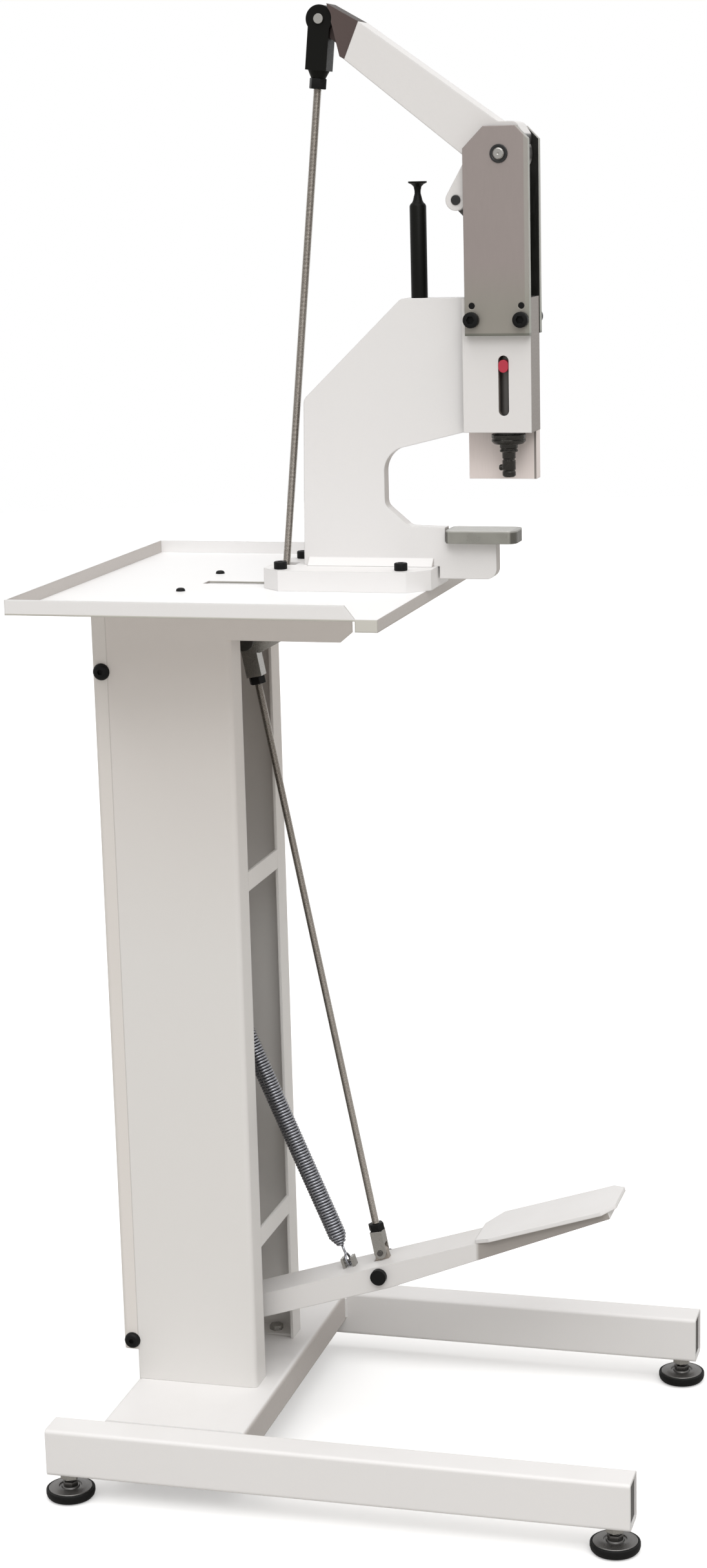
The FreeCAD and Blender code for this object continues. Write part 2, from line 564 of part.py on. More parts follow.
# --- Tray: a sheet with a raised rim on three sides and a folded-down front ------------------
slot_width = ("-rod_slot_width / 2", "rod_slot_width / 2")
tray_plate = profile("tray_plate", "XY_Plane", "column_top", "tray_sheet", [
    ("-tray_half", "tray_rear"), ("tray_half", "tray_rear"), ("tray_half", "tray_front"),
    ("-tray_half", "tray_front"),
])
front_fold = box("tray_front_fold", ("-tray_half", "tray_half"),
                 ("tray_front", "tray_front + tray_sheet"),
                 ("column_top - tray_fold + tray_sheet", "column_top"))
rear_lip = box("tray_rear_lip", ("-tray_half", "tray_half"), ("tray_rear - tray_sheet", "tray_rear"),
               ("tray_top", "tray_top + tray_lip"))
side_folds = []
side_lips = []
for tag, s in (("left", -1), ("right", 1)):
    start = "-tray_half" if s < 0 else "tray_half - tray_sheet"
    side_lips.append(profile("tray_lip_" + tag, "YZ_Plane", start, "tray_sheet", [
        ("tray_rear", "tray_top"), ("tray_rear", "tray_top + tray_lip"),
        ("tray_front + tray_lip_end + tray_lip_slope", "tray_top + tray_lip"),
        ("tray_front + tray_lip_end", "tray_top"),
    ]))
    side_folds.append(box("tray_side_fold_" + tag, (start, start + " + tray_sheet"),
                          ("tray_front", "tray_front + tray_lip_end"),
                          ("column_top - tray_fold + tray_sheet", "column_top")))
rod_slot = box("tray_rod_slot", slot_width, ("slot_front", "slot_rear"),
               ("column_top - over", "tray_top + over"))
tray_screw_y = "rear_end - tray_screw_setback"
tray_screw_spots = [("%d * tray_screw_spread / 2" % s, tray_screw_y) for s in (-1, 1)]
frame_screw_spots = [("%d * frame_screw_spread / 2" % s, y) for s in (-1, 1)
                     for y in ("frame_screw_y", "frame_screw_y - frame_screw_pitch")]


def screw_holes(name, low, high):
    """Through holes for the frame's four screws and the tray's two."""
    spots = frame_screw_spots + tray_screw_spots
    return [rod("%s_hole%d" % (name, n), "z", (low + " - over", high + " + over"), spot,
                "screw_radius + running_fit")
            for n, spot in enumerate(spots)]


tray_solid = fuse("tray_solid", tray_plate, front_fold, rear_lip, *side_lips, *side_folds)
node(cut("tray", tray_solid, rod_slot, *screw_holes("tray", "column_top", "tray_top")), "tray")

support = box("support_block", ("-inner", "inner"),
              ("frame_screw_y - frame_screw_pitch - support_rim", "rear_end - support_setback"),
              ("support_z", "column_top"))
support_slot = box("support_slot", slot_width, ("slot_front", "slot_rear"),
                   ("support_z - over", "column_top + over"))
node(cut("tray_support", support, support_slot, *screw_holes("support", "support_z", "column_top")),
     "tray_support")

tray_screws = []
for n, spot in enumerate(tray_screw_spots):
    name = "tray_screw%d" % n
    head = cone(name + "_head", "z", ("tray_top", "tray_top + tray_screw_height"), spot,
                "tray_screw_radius", "tray_screw_crown")
    shank = rod(name + "_shank", "z", ("support_z", "tray_top"), spot, "screw_radius")
    socket = hexagon(name + "_socket", "z", ("tray_top + over", "tray_top + tray_screw_height + over"),
                     spot, "tray_screw_hex")
    tray_screws.append(cut(name, fuse(name + "_solid", head, shank), socket))
node(fuse("tray_screws", *tray_screws), "tray_screws")

# --- C-frame: a bolted flange and the upright plate welded on it ----------------------------
flange = profile("flange_plate", "XY_Plane", "tray_top", "flange_thickness", [
    ("flange_corner - flange_side", "flange_rear"), ("-notch_side", "flange_rear"),
    ("-notch_side", "notch_end"), ("notch_side", "notch_end"),
    ("notch_side", "flange_rear"), ("flange_side - flange_corner", "flange_rear"),
    ("flange_side", "flange_rear - flange_corner"), ("flange_side", "flange_front + flange_corner"),
    ("flange_side - flange_corner", "flange_front"), ("flange_corner - flange_side", "flange_front"),
    ("-flange_side", "flange_front + flange_corner"), ("-flange_side", "flange_rear - flange_corner"),
])
flange_holes = [rod("flange_hole%d" % n, "z", ("tray_top - over", "flange_top + over"), spot,
                    "screw_radius + running_fit")
                for n, spot in enumerate(frame_screw_spots)]
node(cut("base_flange", flange, *flange_holes), "base_flange")

flange_screws = [cap_screw("flange_screw%d" % n, "z", "flange_top", "support_z", spot)
                 for n, spot in enumerate(frame_screw_spots)]
node(fuse("flange_screws", *flange_screws), "flange_screws")

# The frame's back stays in front of the middle of the pull rod, which passes behind it.
frame_foot_rear = "frame_back_y + frame_lean"
frame = profile("frame_plate", "YZ_Plane", "-plate_thickness / 2", "plate_thickness", [
    (frame_foot_rear, "flange_top"),
    ("frame_back_y", "flange_top + frame_back_height"),
    ("tool_y + frame_top_run", "frame_top"), ("head_rear", "frame_top"),
    ("head_rear", "head_bottom_z"), ("tool_y + throat_back", "flange_top + throat_roof"),
    ("tool_y + throat_back", "flange_top + throat_floor"),
    ("tool_y + throat_foot_run", "flange_top + throat_foot"),
    ("tool_y + anvil_step", "flange_top + arm_top"), ("tool_y + anvil_step", "anvil_z"),
    ("tool_y + nose_front", "anvil_z"), ("tool_y + nose_front", "flange_top - nose_bottom"),
    ("tool_y + nose_rear", "flange_top - nose_bottom"), ("tool_y + nose_rear", "flange_top"),
], [("throat_round", (5,)), ("floor_round", (1, 2, 6, 7, 11))])
weld_rear = frame_foot_rear + " - flange_notch_depth + flange_corner"
welds = []
for tag, s in (("left", -1), ("right", 1)):
    foot = "%d * plate_thickness / 2" % s
    toe = "%d * (plate_thickness / 2 + weld_leg)" % s
    welds.append(profile("frame_weld_" + tag, "XZ_Plane", "-(%s)" % weld_rear,
                         "%s - flange_front - weld_inset" % weld_rear, [
                             (foot, "flange_top"), (toe, "flange_top"),
                             (foot, "flange_top + weld_leg"),
                         ]))
node(fuse("c_frame", frame, *welds), "c_frame")

anvil = profile("anvil_plate", "XY_Plane", "anvil_z", "anvil_thickness", [
    ("-anvil_width / 2", "tool_y + anvil_overhang"), ("anvil_width / 2", "tool_y + anvil_overhang"),
    ("anvil_width / 2", "tool_y - anvil_front"), ("-anvil_width / 2", "tool_y - anvil_front"),
], [("anvil_front_round", (2, 3)), ("anvil_rear_round", (0, 1))])
node(anvil, "anvil_plate")

# --- Head: the block that guides the ram, its guide plate and its two side plates -------------
block = box("head_solid", ("-head_half", "head_half"), ("head_front_y", "head_rear"),
            ("head_bottom_z", "frame_top"))
bore = rod("head_bore", "z", ("head_bottom_z - over", "frame_top + over"), (0, "tool_y"),
           "bore_radius")
head_slot = slot("head_slot", ("-head_half - over", 0), ("tool_y", "tool_y"),
                 ("head_bottom_z + slot_bottom + slot_width / 2",
                  "head_bottom_z + slot_bottom + slot_height - slot_width / 2"), "slot_width / 2")
head_screw_spots = [(y, "side_bottom + head_screw_rise")
                    for y in ("tool_y + head_screw_rear", "tool_y - head_screw_front")]
dowel_spots = [(y, z + " + dowel_rise") for y, z in head_screw_spots]


def side_drills(name, start, end):
    """Holes along x for the side plates' screws and dowels."""
    reach = ("%s - over" % start, "%s + over" % end)
    drills = [rod("%s_drill%d" % (name, n), "x", reach, spot, "head_screw_radius + running_fit")
              for n, spot in enumerate(head_screw_spots)]
    return drills + [rod("%s_dowel_hole%d" % (name, n), "x", reach, spot, "dowel_radius + running_fit")
                     for n, spot in enumerate(dowel_spots)]


node(cut("head_block", block, bore, head_slot, *side_drills("head", "-head_half", "head_half")),
     "head_block")

node(box("guide_plate", ("head_half", "head_half + guide_thickness"),
         ("tool_y - guide_front", "tool_y + guide_rear"),
         ("head_bottom_z - guide_drop", "guide_top")), "guide_plate")

side_plates = []
for tag, s in (("left", -1), ("right", 1)):
    start = "-side_outer" if s < 0 else "head_half"
    plate = profile("side_plate_body_" + tag, "YZ_Plane", start, "side_thickness", [
        ("tool_y + side_rear", "side_bottom"), ("tool_y + side_rear", "side_top - side_slant"),
        ("tool_y + side_rear - side_slant", "side_top"),
        ("tool_y - side_front + side_slant_front", "side_top"),
        ("tool_y - side_front", "side_top - side_slant_front"), ("tool_y - side_front", "side_bottom"),
    ])
    pin_bore = rod("side_bore_" + tag, "x", (start + " - over", start + " + side_thickness + over"),
                   ("tool_y", "lever_z"), "lever_pin_radius + running_fit")
    side_plates.append(cut("side_plate_" + tag, plate, pin_bore,
                           *side_drills("side_" + tag, start, start + " + side_thickness")))
node(fuse("side_plate_pair", *side_plates), "side_plates")

side_screws = [cap_screw("side_screw_%s%d" % (tag, n), "x", "%d * side_outer" % way,
                         "%d * (bore_radius + head_screw_end)" % way, spot, "head_screw", way)
               for n, spot in enumerate(head_screw_spots) for tag, way in (("near", -1), ("far", 1))]
node(fuse("side_plate_screws", *side_screws), "side_plate_screws")
dowels = [rod("dowel%d" % n, "x", ("-side_outer", "side_outer"), spot, "dowel_radius")
          for n, spot in enumerate(dowel_spots)]
node(fuse("dowel_pins", *dowels), "dowel_pins")

lever_axis = ("tool_y", "lever_z")
node(fuse("lever_pin",
          rod("lever_pin_body", "x", ("-side_outer", "side_outer"), lever_axis, "lever_pin_radius"),
          rod("lever_pin_ends", "x", ("-lever_pin_end", "lever_pin_end"), lever_axis,
              "lever_pin_end_radius")), "lever_pivot_pin")
clips = [tube("pivot_clip_" + tag, "x", ends, lever_axis, "clip_radius",
              "lever_pin_end_radius + running_fit")
         for tag, ends in (("near", ("-side_outer - clip_thickness", "-side_outer")),
                           ("far", ("side_outer", "side_outer + clip_thickness")))]
node(fuse("pivot_clip_pair", *clips), "pivot_clips")

# --- Stop post: a threaded post on the frame's top that the lever meets when set high --------
stop_spot = (0, "tool_y + stop_back")
neck_top = "frame_top + stop_length + stop_neck"
post = fuse("stop_post",
            rod("stop_shaft", "z", ("frame_top", "frame_top + stop_length"), stop_spot, "stop_radius"),
            rod("stop_neck_rod", "z", ("frame_top + stop_length", neck_top), stop_spot,
                "stop_neck_radius"),
            rod("stop_disc_rod", "z", (neck_top + " - stop_disc", neck_top), stop_spot,
                "stop_disc_radius"))
node(post, "stop_post")

# --- Upper lever: a flat bar with a forked crank, its steel tip and the crank pin -----------
arm = profile("lever_bar", "YZ_Plane", "-lever_half", "lever_width", [
    ("tip_y", "tip_z"), ("tip_y + lever_tip_back", "tip_z - lever_tip_depth"),
    ("tool_y + web_rear", "lever_z - web_drop"),
    ("crank_y + crank_hub * cos(lobe_turn)", "crank_z + crank_hub * sin(lobe_turn)"),
    ("crank_y - crank_hub", "crank_z"), ("tool_y - chin_front", "lever_z - chin_drop"),
    ("tool_y - brow_front", "lever_z + brow_rise"), ("tool_y - crown_front", "lever_z + crown_rise"),
    ("tool_y + crown_rear", "lever_z + crown_rise"),
], [("crown_round", (6, 7, 8))])
lever_span = ("-lever_half", "lever_half")
lever_reach = ("-lever_half - over", "lever_half + over")
crank_axis = ("crank_y", "crank_z")
hub = rod("lever_hub_round", "x", lever_span, lever_axis, "lever_hub")
crank = rod("crank_round", "x", lever_span, crank_axis, "crank_hub")
fork_gap = box("lever_fork_gap", ("-link_slot", "link_slot"),
               ("tool_y - lever_hub", "crank_y + crank_hub + over"),
               ("crank_z - crank_hub - over", "crank_z + crank_hub + fork_roof"))
lever_bore = rod("lever_bore", "x", lever_reach, lever_axis, "lever_pin_radius + running_fit")
crank_bore = rod("crank_bore", "x", lever_reach, crank_axis, "crank_pin_radius")
node(cut("lever_forging", fuse("lever_solid", arm, hub, crank), fork_gap, lever_bore, crank_bore),
     "lever_arm")
node(rod("crank_bar", "x", ("-crank_pin_end", "crank_pin_end"), crank_axis, "crank_pin_radius"),
     "crank_pin")

joint_axis = ("joint_y", "joint_z")
tip_bar = profile("tip_bar", "YZ_Plane", "tip_step - lever_half", "lever_width - 2 * tip_step", [
    ("tip_y", "tip_z"), ("tip_y + tip_run", "tip_z + tip_rise"),
    ("tip_low_y + tip_toe_run", "tip_low_z + tip_toe_rise"), ("tip_low_y", "tip_low_z"),
])
tongue = rod("tip_tongue_round", "x", ("-tongue_width / 2", "tongue_width / 2"), joint_axis,
             "tongue_radius")
neck = profile("tip_neck", "YZ_Plane", "-tongue_width / 2", "tongue_width", [
    ("joint_y", "joint_z + tongue_radius"), ("joint_y", "joint_z - tongue_radius"),
    ("tip_low_y + neck_low_run", "tip_low_z + neck_low_rise"), ("tip_y + neck_top_run", "tip_z"),
])
clearances = [rod("tip_clearance_" + tag, "x", ends, joint_axis, "fork_radius + air")
              for tag, ends in (("near", ("-lever_half", "-tongue_width / 2")),
                                ("far", ("tongue_width / 2", "lever_half")))]
tip_hole = rod("tip_hole", "x", lever_span, joint_axis, "fork_bolt_radius + running_fit")
tip_head = cut("tip_bar_cut", tip_bar, *clearances)
node(cut("tip_forging", fuse("tip_solid", tip_head, tongue, neck), tip_hole), "lever_tip")

# --- Toggle link: from the crank pin down to the ram ------------------------------------------
link_ends = ("-link_thickness / 2", "link_thickness / 2")
link_bar = box("link_bar", link_ends, ("-link_end", "link_end"), (0, "link_length"))
link = cut("toggle_link",
           fuse("link_solid", link_bar, rod("link_foot", "x", link_ends, (0, 0), "link_end"),
                rod("link_head", "x", link_ends, (0, "link_length"), "link_end")),
           rod("link_foot_hole", "x", ("-link_end", "link_end"), (0, 0), "foot_pin_radius"),
           rod("link_head_hole", "x", ("-link_end", "link_end"), (0, "link_length"),
               "crank_pin_radius + running_fit"))
tilt(link, "tool_y", "ram_pin_z", "link_angle")
node(link, "toggle_link")
node(rod("link_foot_pin", "x", ("foot_pin_inset - ram_radius", "ram_radius - foot_pin_inset"),
         ("tool_y", "ram_pin_z"), "foot_pin_radius"), "link_foot_pin")

# --- Ram with its indicator and the setting tool below it ------------------------------------
ram_body = rod("ram_round", "z", ("tool_top", "ram_pin_z + ram_tail"), (0, "tool_y"), "ram_radius")
ram_gap = box("ram_gap", ("-link_slot", "link_slot"),
              ("tool_y - ram_radius - over", "tool_y + ram_radius + over"),
              ("ram_pin_z - link_end - ram_slack - ram_gap_room", "ram_pin_z + ram_tail + over"))
ram_slot_y = "tool_y + ram_ease / 2"
ram_slot = slot("ram_slot", ("-ram_radius - over", "ram_radius + over"), (ram_slot_y, ram_slot_y),
                ("ram_pin_z - ram_slack", "ram_pin_z"), "foot_pin_radius + ram_fit + ram_ease / 2")
node(cut("ram", ram_body, ram_gap, ram_slot), "ram")

indicator_half = "slot_width / 2 - air"
indicator = slot("indicator", ("-head_half - indicator_proud", "indicator_seat - ram_radius"),
                 ("tool_y", "tool_y"),
                 ("indicator_z - indicator_height / 2 + " + indicator_half,
                  "indicator_z + indicator_height / 2 - (%s)" % indicator_half), indicator_half)
ram_core = rod("indicator_core", "z",
               ("indicator_z - indicator_height", "indicator_z + indicator_height"),
               (0, "tool_y"), "ram_radius")
node(cut("indicator_pin", indicator, ram_core), "indicator_pin")

flange_low = "tool_top - tool_flange"
neck_low = flange_low + " - tool_neck"
stem_low = neck_low + " - tool_stem"
tool = fuse("upper_tool",
            rod("tool_flange_round", "z", (flange_low, "tool_top"), (0, "tool_y"), "tool_flange_radius"),
            rod("tool_neck_round", "z", (neck_low, flange_low), (0, "tool_y"), "tool_neck_radius"),
            rod("tool_stem_round", "z", (stem_low, neck_low), (0, "tool_y"), "tool_stem_radius"),
            rod("tool_nub", "y", ("tool_y", "tool_y + tool_stem_radius + tool_nub_radius"),
                (0, stem_low + " + tool_nub_rise"), "tool_nub_radius"))
node(tool, "upper_tool")

# --- Pull rod: black fork on the lever's tip, threaded rod, eye in the transfer lever --------
# Built upright with the lower eye's centre at the origin, then leant over.
fork_low = "pull_length - fork_length"
shoulder = fork_low + " + fork_shoulder"
fork_top = (0, "pull_length")
fork_body = fuse("pull_fork_solid",
                 rod("pull_fork_head", "x", ("-fork_side", "fork_side"), fork_top, "fork_radius"),
                 box("pull_fork_body", ("-fork_side", "fork_side"), ("-fork_depth", "fork_depth"),
                     (shoulder, "pull_length")),
                 cone("pull_fork_shoulder", "z", (fork_low, shoulder), (0, 0), "fork_shoulder_end",
                      "fork_depth"))
fork_gap = box("pull_fork_gap", ("-tongue_width / 2 - air", "tongue_width / 2 + air"),
               ("-fork_radius - over", "fork_radius + over"),
               ("pull_length - fork_gap_depth", "pull_length + fork_radius + over"))
fork_hole = rod("pull_fork_hole", "x", ("-fork_radius", "fork_radius"), fork_top, "fork_bolt_radius")
fork = cut("pull_fork", fork_body, fork_gap, fork_hole)
fork_bolt_end = "(fork_side + fork_bolt_head)"
fork_bolt = fuse("fork_bolt",
                 rod("fork_bolt_shank", "x", ("-fork_side", "fork_side"), fork_top, "fork_bolt_radius"),
                 rod("fork_bolt_front", "x", ("-" + fork_bolt_end, "-fork_side"), fork_top,
                     "fork_bolt_head_radius"),
                 rod("fork_bolt_back", "x", ("fork_side", fork_bolt_end), fork_top,
                     "fork_bolt_head_radius"))


def rod_nut(name, low, height):
    """A hexagon nut on an upright rod."""
    span = (low, "%s + %s" % (low, height))
    return cut(name, hexagon(name + "_body", "z", span, (0, 0), "rod_nut"),
               rod(name + "_hole", "z", span, (0, 0), "rod_radius + running_fit"))


pull_nut = rod_nut("pull_nut", fork_low + " - fork_nut_height", "fork_nut_height")
pull_rod = settled("pull_rod_whole", rod("pull_bar", "z", ("eye_length", fork_low), (0, 0), "rod_radius"))
eye = fuse("pull_eye_solid",
           rod("pull_eye_round", "x", ("-eye_radius", "eye_radius"), (0, 0), "eye_radius"),
           box("pull_eye_neck", ("-eye_radius", "eye_radius"), ("-eye_radius", "eye_radius"),
               (0, "eye_length")))
pull_eye = cut("pull_eye", eye, rod("pull_eye_hole", "x", ("-eye_radius - over", "eye_radius + over"),
                                    (0, 0), "eye_pin_radius"))


def washer_pin(name, z):
    """A pin through a rod's eye with a washer outside each transfer plate."""
    far = "plate_outer + air"
    end = far + " + washer_thickness"
    return fuse(name,
                rod(name + "_shank", "x", ("-(%s)" % end, end), (0, z), "eye_pin_radius"),
                rod(name + "_near", "x", ("-(%s)" % end, "-(%s)" % far), (0, z), "washer_radius"),
                rod(name + "_far", "x", (far, end), (0, z), "washer_radius"))


pull_pin = washer_pin("pull_rod_pin", 0)
pull_pins = fuse("pull_pins", fork_bolt, pull_pin)
for piece, label in ((fork, "pull_rod_fork"), (pull_pins, "pull_rod_pins"), (pull_nut, "pull_rod_nut"),
                     (pull_rod, "pull_rod"), (pull_eye, "pull_rod_eye")):
    tilt(piece, "pull_eye_y", "pull_eye_z", "-pull_angle")
    node(piece, label)

# --- Pedal rod: zinc fork on the pedal's lug, threaded rod, eye in the transfer lever ---------
clevis_body = fuse("clevis_solid",
                   rod("clevis_round", "x", ("-clevis_side", "clevis_side"), (0, 0), "clevis_radius"),
                   box("clevis_block", ("-clevis_side", "clevis_side"),
                       ("-clevis_radius", "clevis_radius"), (0, "clevis_length")))
clevis_reach = ("-clevis_radius - over", "clevis_radius + over")
clevis = cut("clevis", clevis_body,
             box("clevis_gap", ("-lug_thickness / 2 - air", "lug_thickness / 2 + air"), clevis_reach,
                 ("-clevis_radius - over", "clevis_radius + clevis_gap_room")),
             rod("clevis_hole", "x", clevis_reach, (0, 0), "clip_pin_radius"))
clip_pin = fuse("clip_pin",
                rod("clip_pin_shank", "x", ("-clevis_side - clip_pin_head", "clevis_side + clip_nub"),
                    (0, 0), "clip_pin_radius"),
                rod("clip_pin_nub", "x", ("clevis_side + clip_nub_gap", "clevis_side + clip_nub"),
                    (0, 0), "clip_nub_radius"))
pedal_rod_end = "pedal_rod_length - pedal_eye_length"
pedal_rod = settled("pedal_rod_whole",
                    rod("pedal_bar", "z", ("clevis_length", pedal_rod_end), (0, 0), "rod_radius"))
pedal_nuts = fuse("pedal_nuts",
                  rod_nut("pedal_nut_lower", "clevis_length", "rod_nut_height"),
                  rod_nut("pedal_nut_upper", pedal_rod_end + " - rod_nut_height", "rod_nut_height"))
eye = fuse("pedal_eye_solid",
           rod("pedal_eye_round", "x", ("-eye_radius", "eye_radius"), (0, "pedal_rod_length"),
               "eye_radius"),
           box("pedal_eye_neck", ("-eye_radius", "eye_radius"), ("-eye_radius", "eye_radius"),
               (pedal_rod_end, "pedal_rod_length")))
pedal_eye = cut("pedal_eye", eye, rod("pedal_eye_hole", "x", ("-eye_radius - over", "eye_radius + over"),
                                      (0, "pedal_rod_length"), "eye_pin_radius"))
top_pin = washer_pin("pedal_rod_top_pin", "pedal_rod_length")
pedal_pins = fuse("pedal_pins", clip_pin, top_pin)
for piece, label in ((clevis, "pedal_rod_fork"), (pedal_pins, "pedal_rod_pins"),
                     (pedal_rod, "pedal_rod"), (pedal_nuts, "pedal_rod_nuts"),
                     (pedal_eye, "pedal_rod_eye")):
    tilt(piece, "lug_y", "lug_z", "pedal_rod_angle")
    node(piece, label)

# --- Transfer lever: two plates on a hub; the rods' pins have room to wander in its windows --
pull_window = "eye_pin_radius + window_margin + (pull_slack_drop + pull_slack_rise) / 2"
pull_window_z = "pull_eye_z + (pull_slack_rise - pull_slack_drop) / 2"
pedal_window = "eye_pin_radius + window_margin + pedal_slack_rise / 2"
pedal_window_z = "pedal_eye_z + pedal_slack_rise / 2"
pull_top = "%s + %s + transfer_rim" % (pull_window_z, pull_window)
pedal_low = "%s - (%s) - transfer_rim" % (pedal_window_z, pedal_window)
plate_front = "pull_eye_y - pull_boss_front - transfer_rim"
transfer_plates = []
for tag, ends in (("left", ("-plate_outer", "-half_gap")), ("right", ("half_gap", "plate_outer"))):
    plate = profile("transfer_outline_" + tag, "YZ_Plane", ends[0], "transfer_plate", [
        ("pivot_y - transfer_rear", "transfer_z + hub_outer"),
        ("pull_eye_y + pull_slack + pull_boss_rear", pull_top), (plate_front, pull_top),
        (plate_front, "%s - (%s) - transfer_rim" % (pull_window_z, pull_window)),
        ("pedal_eye_y - pedal_boss_front - transfer_rim", pedal_low),
        ("pedal_eye_y + pedal_slack + pedal_boss_rear", pedal_low),
        ("pivot_y - transfer_rear", "transfer_z - hub_outer"),
    ], [("transfer_rim", (2, 3))])
    hub = rod("transfer_eye_" + tag, "x", ends, ("pivot_y", "transfer_z"), "hub_outer")
    reach = (ends[0] + " - over", ends[1] + " + over")
    windows = [
        slot("pull_window_" + tag, reach,
             ("pull_eye_y - window_run", "pull_eye_y + pull_slack + window_run"),
             (pull_window_z, pull_window_z), pull_window),
        slot("pedal_window_" + tag, reach, ("pedal_eye_y", "pedal_eye_y + pedal_slack"),
             (pedal_window_z, pedal_window_z), pedal_window),
        rod("transfer_bore_" + tag, "x", reach, ("pivot_y", "transfer_z"),
            "pivot_radius + running_fit"),
    ]
    transfer_plates.append(cut("transfer_plate_" + tag,
                               fuse("transfer_blank_" + tag, plate, hub), *windows))
node(fuse("transfer_pair", *transfer_plates), "transfer_plates")
transfer_hub = tube("transfer_hub", "x", ("-half_gap", "half_gap"), ("pivot_y", "transfer_z"),
                    "hub_outer", "pivot_radius + running_fit")
transfer_spacer = rod("transfer_spacer", "x", ("-half_gap", "half_gap"),
                      ("pivot_y - spacer_out", "transfer_z + spacer_rise"), "eye_radius")
node(fuse("transfer_middle", transfer_hub, transfer_spacer), "transfer_spacers")

# --- Pedal: a folded channel on the lower pivot, built level and then sloped up ---------------
# In this frame +y points to the rear, the pivot is the origin and the top face is a little below.
channel_side = [
    ("pedal_tail", "-pedal_sink"), ("-pedal_length", "-pedal_sink"),
    ("-pedal_length", "-pedal_sink - pedal_nose"),
    ("pedal_taper - pedal_length", "-pedal_under"), ("pedal_tail", "-pedal_under"),
]
channel = profile("pedal_outline", "YZ_Plane", "-pedal_half", "pedal_width", channel_side)
channel_room = box("pedal_room", ("pedal_sheet - pedal_half", "pedal_half - pedal_sheet"),
                   ("-pedal_length + pedal_sheet", "pedal_tail + over"),
                   ("-pedal_under - over", "-pedal_sink - pedal_sheet"))
pedal_reach = ("-pedal_half - over", "pedal_half + over")
hub_seat = rod("pedal_hub_seat", "x", pedal_reach, (0, 0), "hub_outer")
lug_slot = box("pedal_lug_slot", ("-lug_thickness / 2", "lug_thickness / 2"),
               ("-lug_out - lug_radius", "-lug_out + lug_bolt_back + lug_foot_radius"),
               ("-pedal_sink - pedal_sheet - over", "-pedal_sink + over"))
lug_bolt_spot = ("-lug_out + lug_bolt_back", "-pedal_sink - lug_bolt_drop")
lug_bolt_hole = rod("pedal_lug_bolt_hole", "x", pedal_reach, lug_bolt_spot, "lug_bolt_radius")
pedal_channel = cut("pedal_folded", channel, channel_room, hub_seat, lug_slot, lug_bolt_hole)
pedal_hub = tube("pedal_hub_tube", "x", ("-pedal_half", "pedal_half"), (0, 0), "hub_outer",
                 "pivot_radius + running_fit")

near = "-footplate_near"
far = "footplate_far"
front = "-footplate_rear - footplate_length"
footplate = profile("footplate_outline", "XY_Plane", "-pedal_sink", "footplate_thickness", [
    ("-pedal_half", "-footplate_rear"), ("pedal_half", "-footplate_rear"),
    (far, "-footplate_rear - footplate_flare"), (far, front + " + footplate_chamfer"),
    (far + " - footplate_chamfer", front), (near + " + footplate_chamfer", front),
    (near, front + " + footplate_chamfer"), (near, "-footplate_rear - footplate_flare"),
])

lug_top = rod("lug_round", "x", ("-lug_thickness / 2", "lug_thickness / 2"), ("-lug_out", "lug_height"),
              "lug_radius")
lug_foot = rod("lug_foot", "x", ("-lug_thickness / 2", "lug_thickness / 2"), lug_bolt_spot,
               "lug_foot_radius")
lug_web = profile("lug_web", "YZ_Plane", "-lug_thickness / 2", "lug_thickness", [
    ("-lug_out - lug_radius", "lug_height"), ("-lug_out + lug_radius", "lug_height"),
    ("-lug_out + lug_bolt_back + lug_foot_radius", "-pedal_sink - lug_bolt_drop"),
    ("-lug_out + lug_bolt_back - lug_foot_radius", "-pedal_sink - lug_bolt_drop"),
    ("-lug_out - lug_radius", "-pedal_sink - pedal_sheet"),
])
lug = cut("lug_drilled", fuse("lug_solid", lug_top, lug_foot, lug_web),
          rod("lug_pin_hole", "x", ("-lug_thickness", "lug_thickness"), ("-lug_out", "lug_height"),
              "clip_pin_radius + running_fit"),
          rod("lug_bolt_bore", "x", ("-lug_thickness", "lug_thickness"), lug_bolt_spot,
              "lug_bolt_radius"))
bolt_end = "pedal_half + bolt_head"
lug_bolt = fuse("lug_bolt",
                rod("lug_bolt_shank", "x", ("-pedal_half", "pedal_half"), lug_bolt_spot,
                    "lug_bolt_radius"),
                rod("lug_bolt_head", "x", ("-(%s)" % bolt_end, "-pedal_half"), lug_bolt_spot,
                    "bolt_head_radius"),
                hexagon("lug_bolt_nut", "x", ("pedal_half", bolt_end), lug_bolt_spot,
                        "bolt_head_radius * 2"))

ears = []
for n, s in enumerate((-1, 1)):
    centre = "-spring_out + %d * (ear_gap / 2 + ear_thickness / 2)" % s
    ears.append(box("spring_ear%d" % n,
                    ("spring_side - ear_width / 2", "spring_side + ear_width / 2"),
                    (centre + " - ear_thickness / 2", centre + " + ear_thickness / 2"),
                    ("-pedal_sink", "ear_height + ear_width / 2")))
ear_pin = rod("spring_ear_pin", "y",
              ("-spring_out - ear_gap / 2 - ear_thickness", "-spring_out + ear_gap / 2 + ear_thickness"),
              ("spring_side", "ear_height"), "ear_pin_radius")
spring_ears = fuse("spring_ear_pair", ear_pin, *ears)

for piece, label in ((pedal_channel, "pedal_channel"), (pedal_hub, "pedal_hub"),
                     (footplate, "footplate"), (lug, "pedal_lug"), (lug_bolt, "pedal_lug_bolt"),
                     (spring_ears, "spring_ears")):
    tilt(piece, "pivot_y", "pedal_z", "pedal_slope")
    node(piece, label)

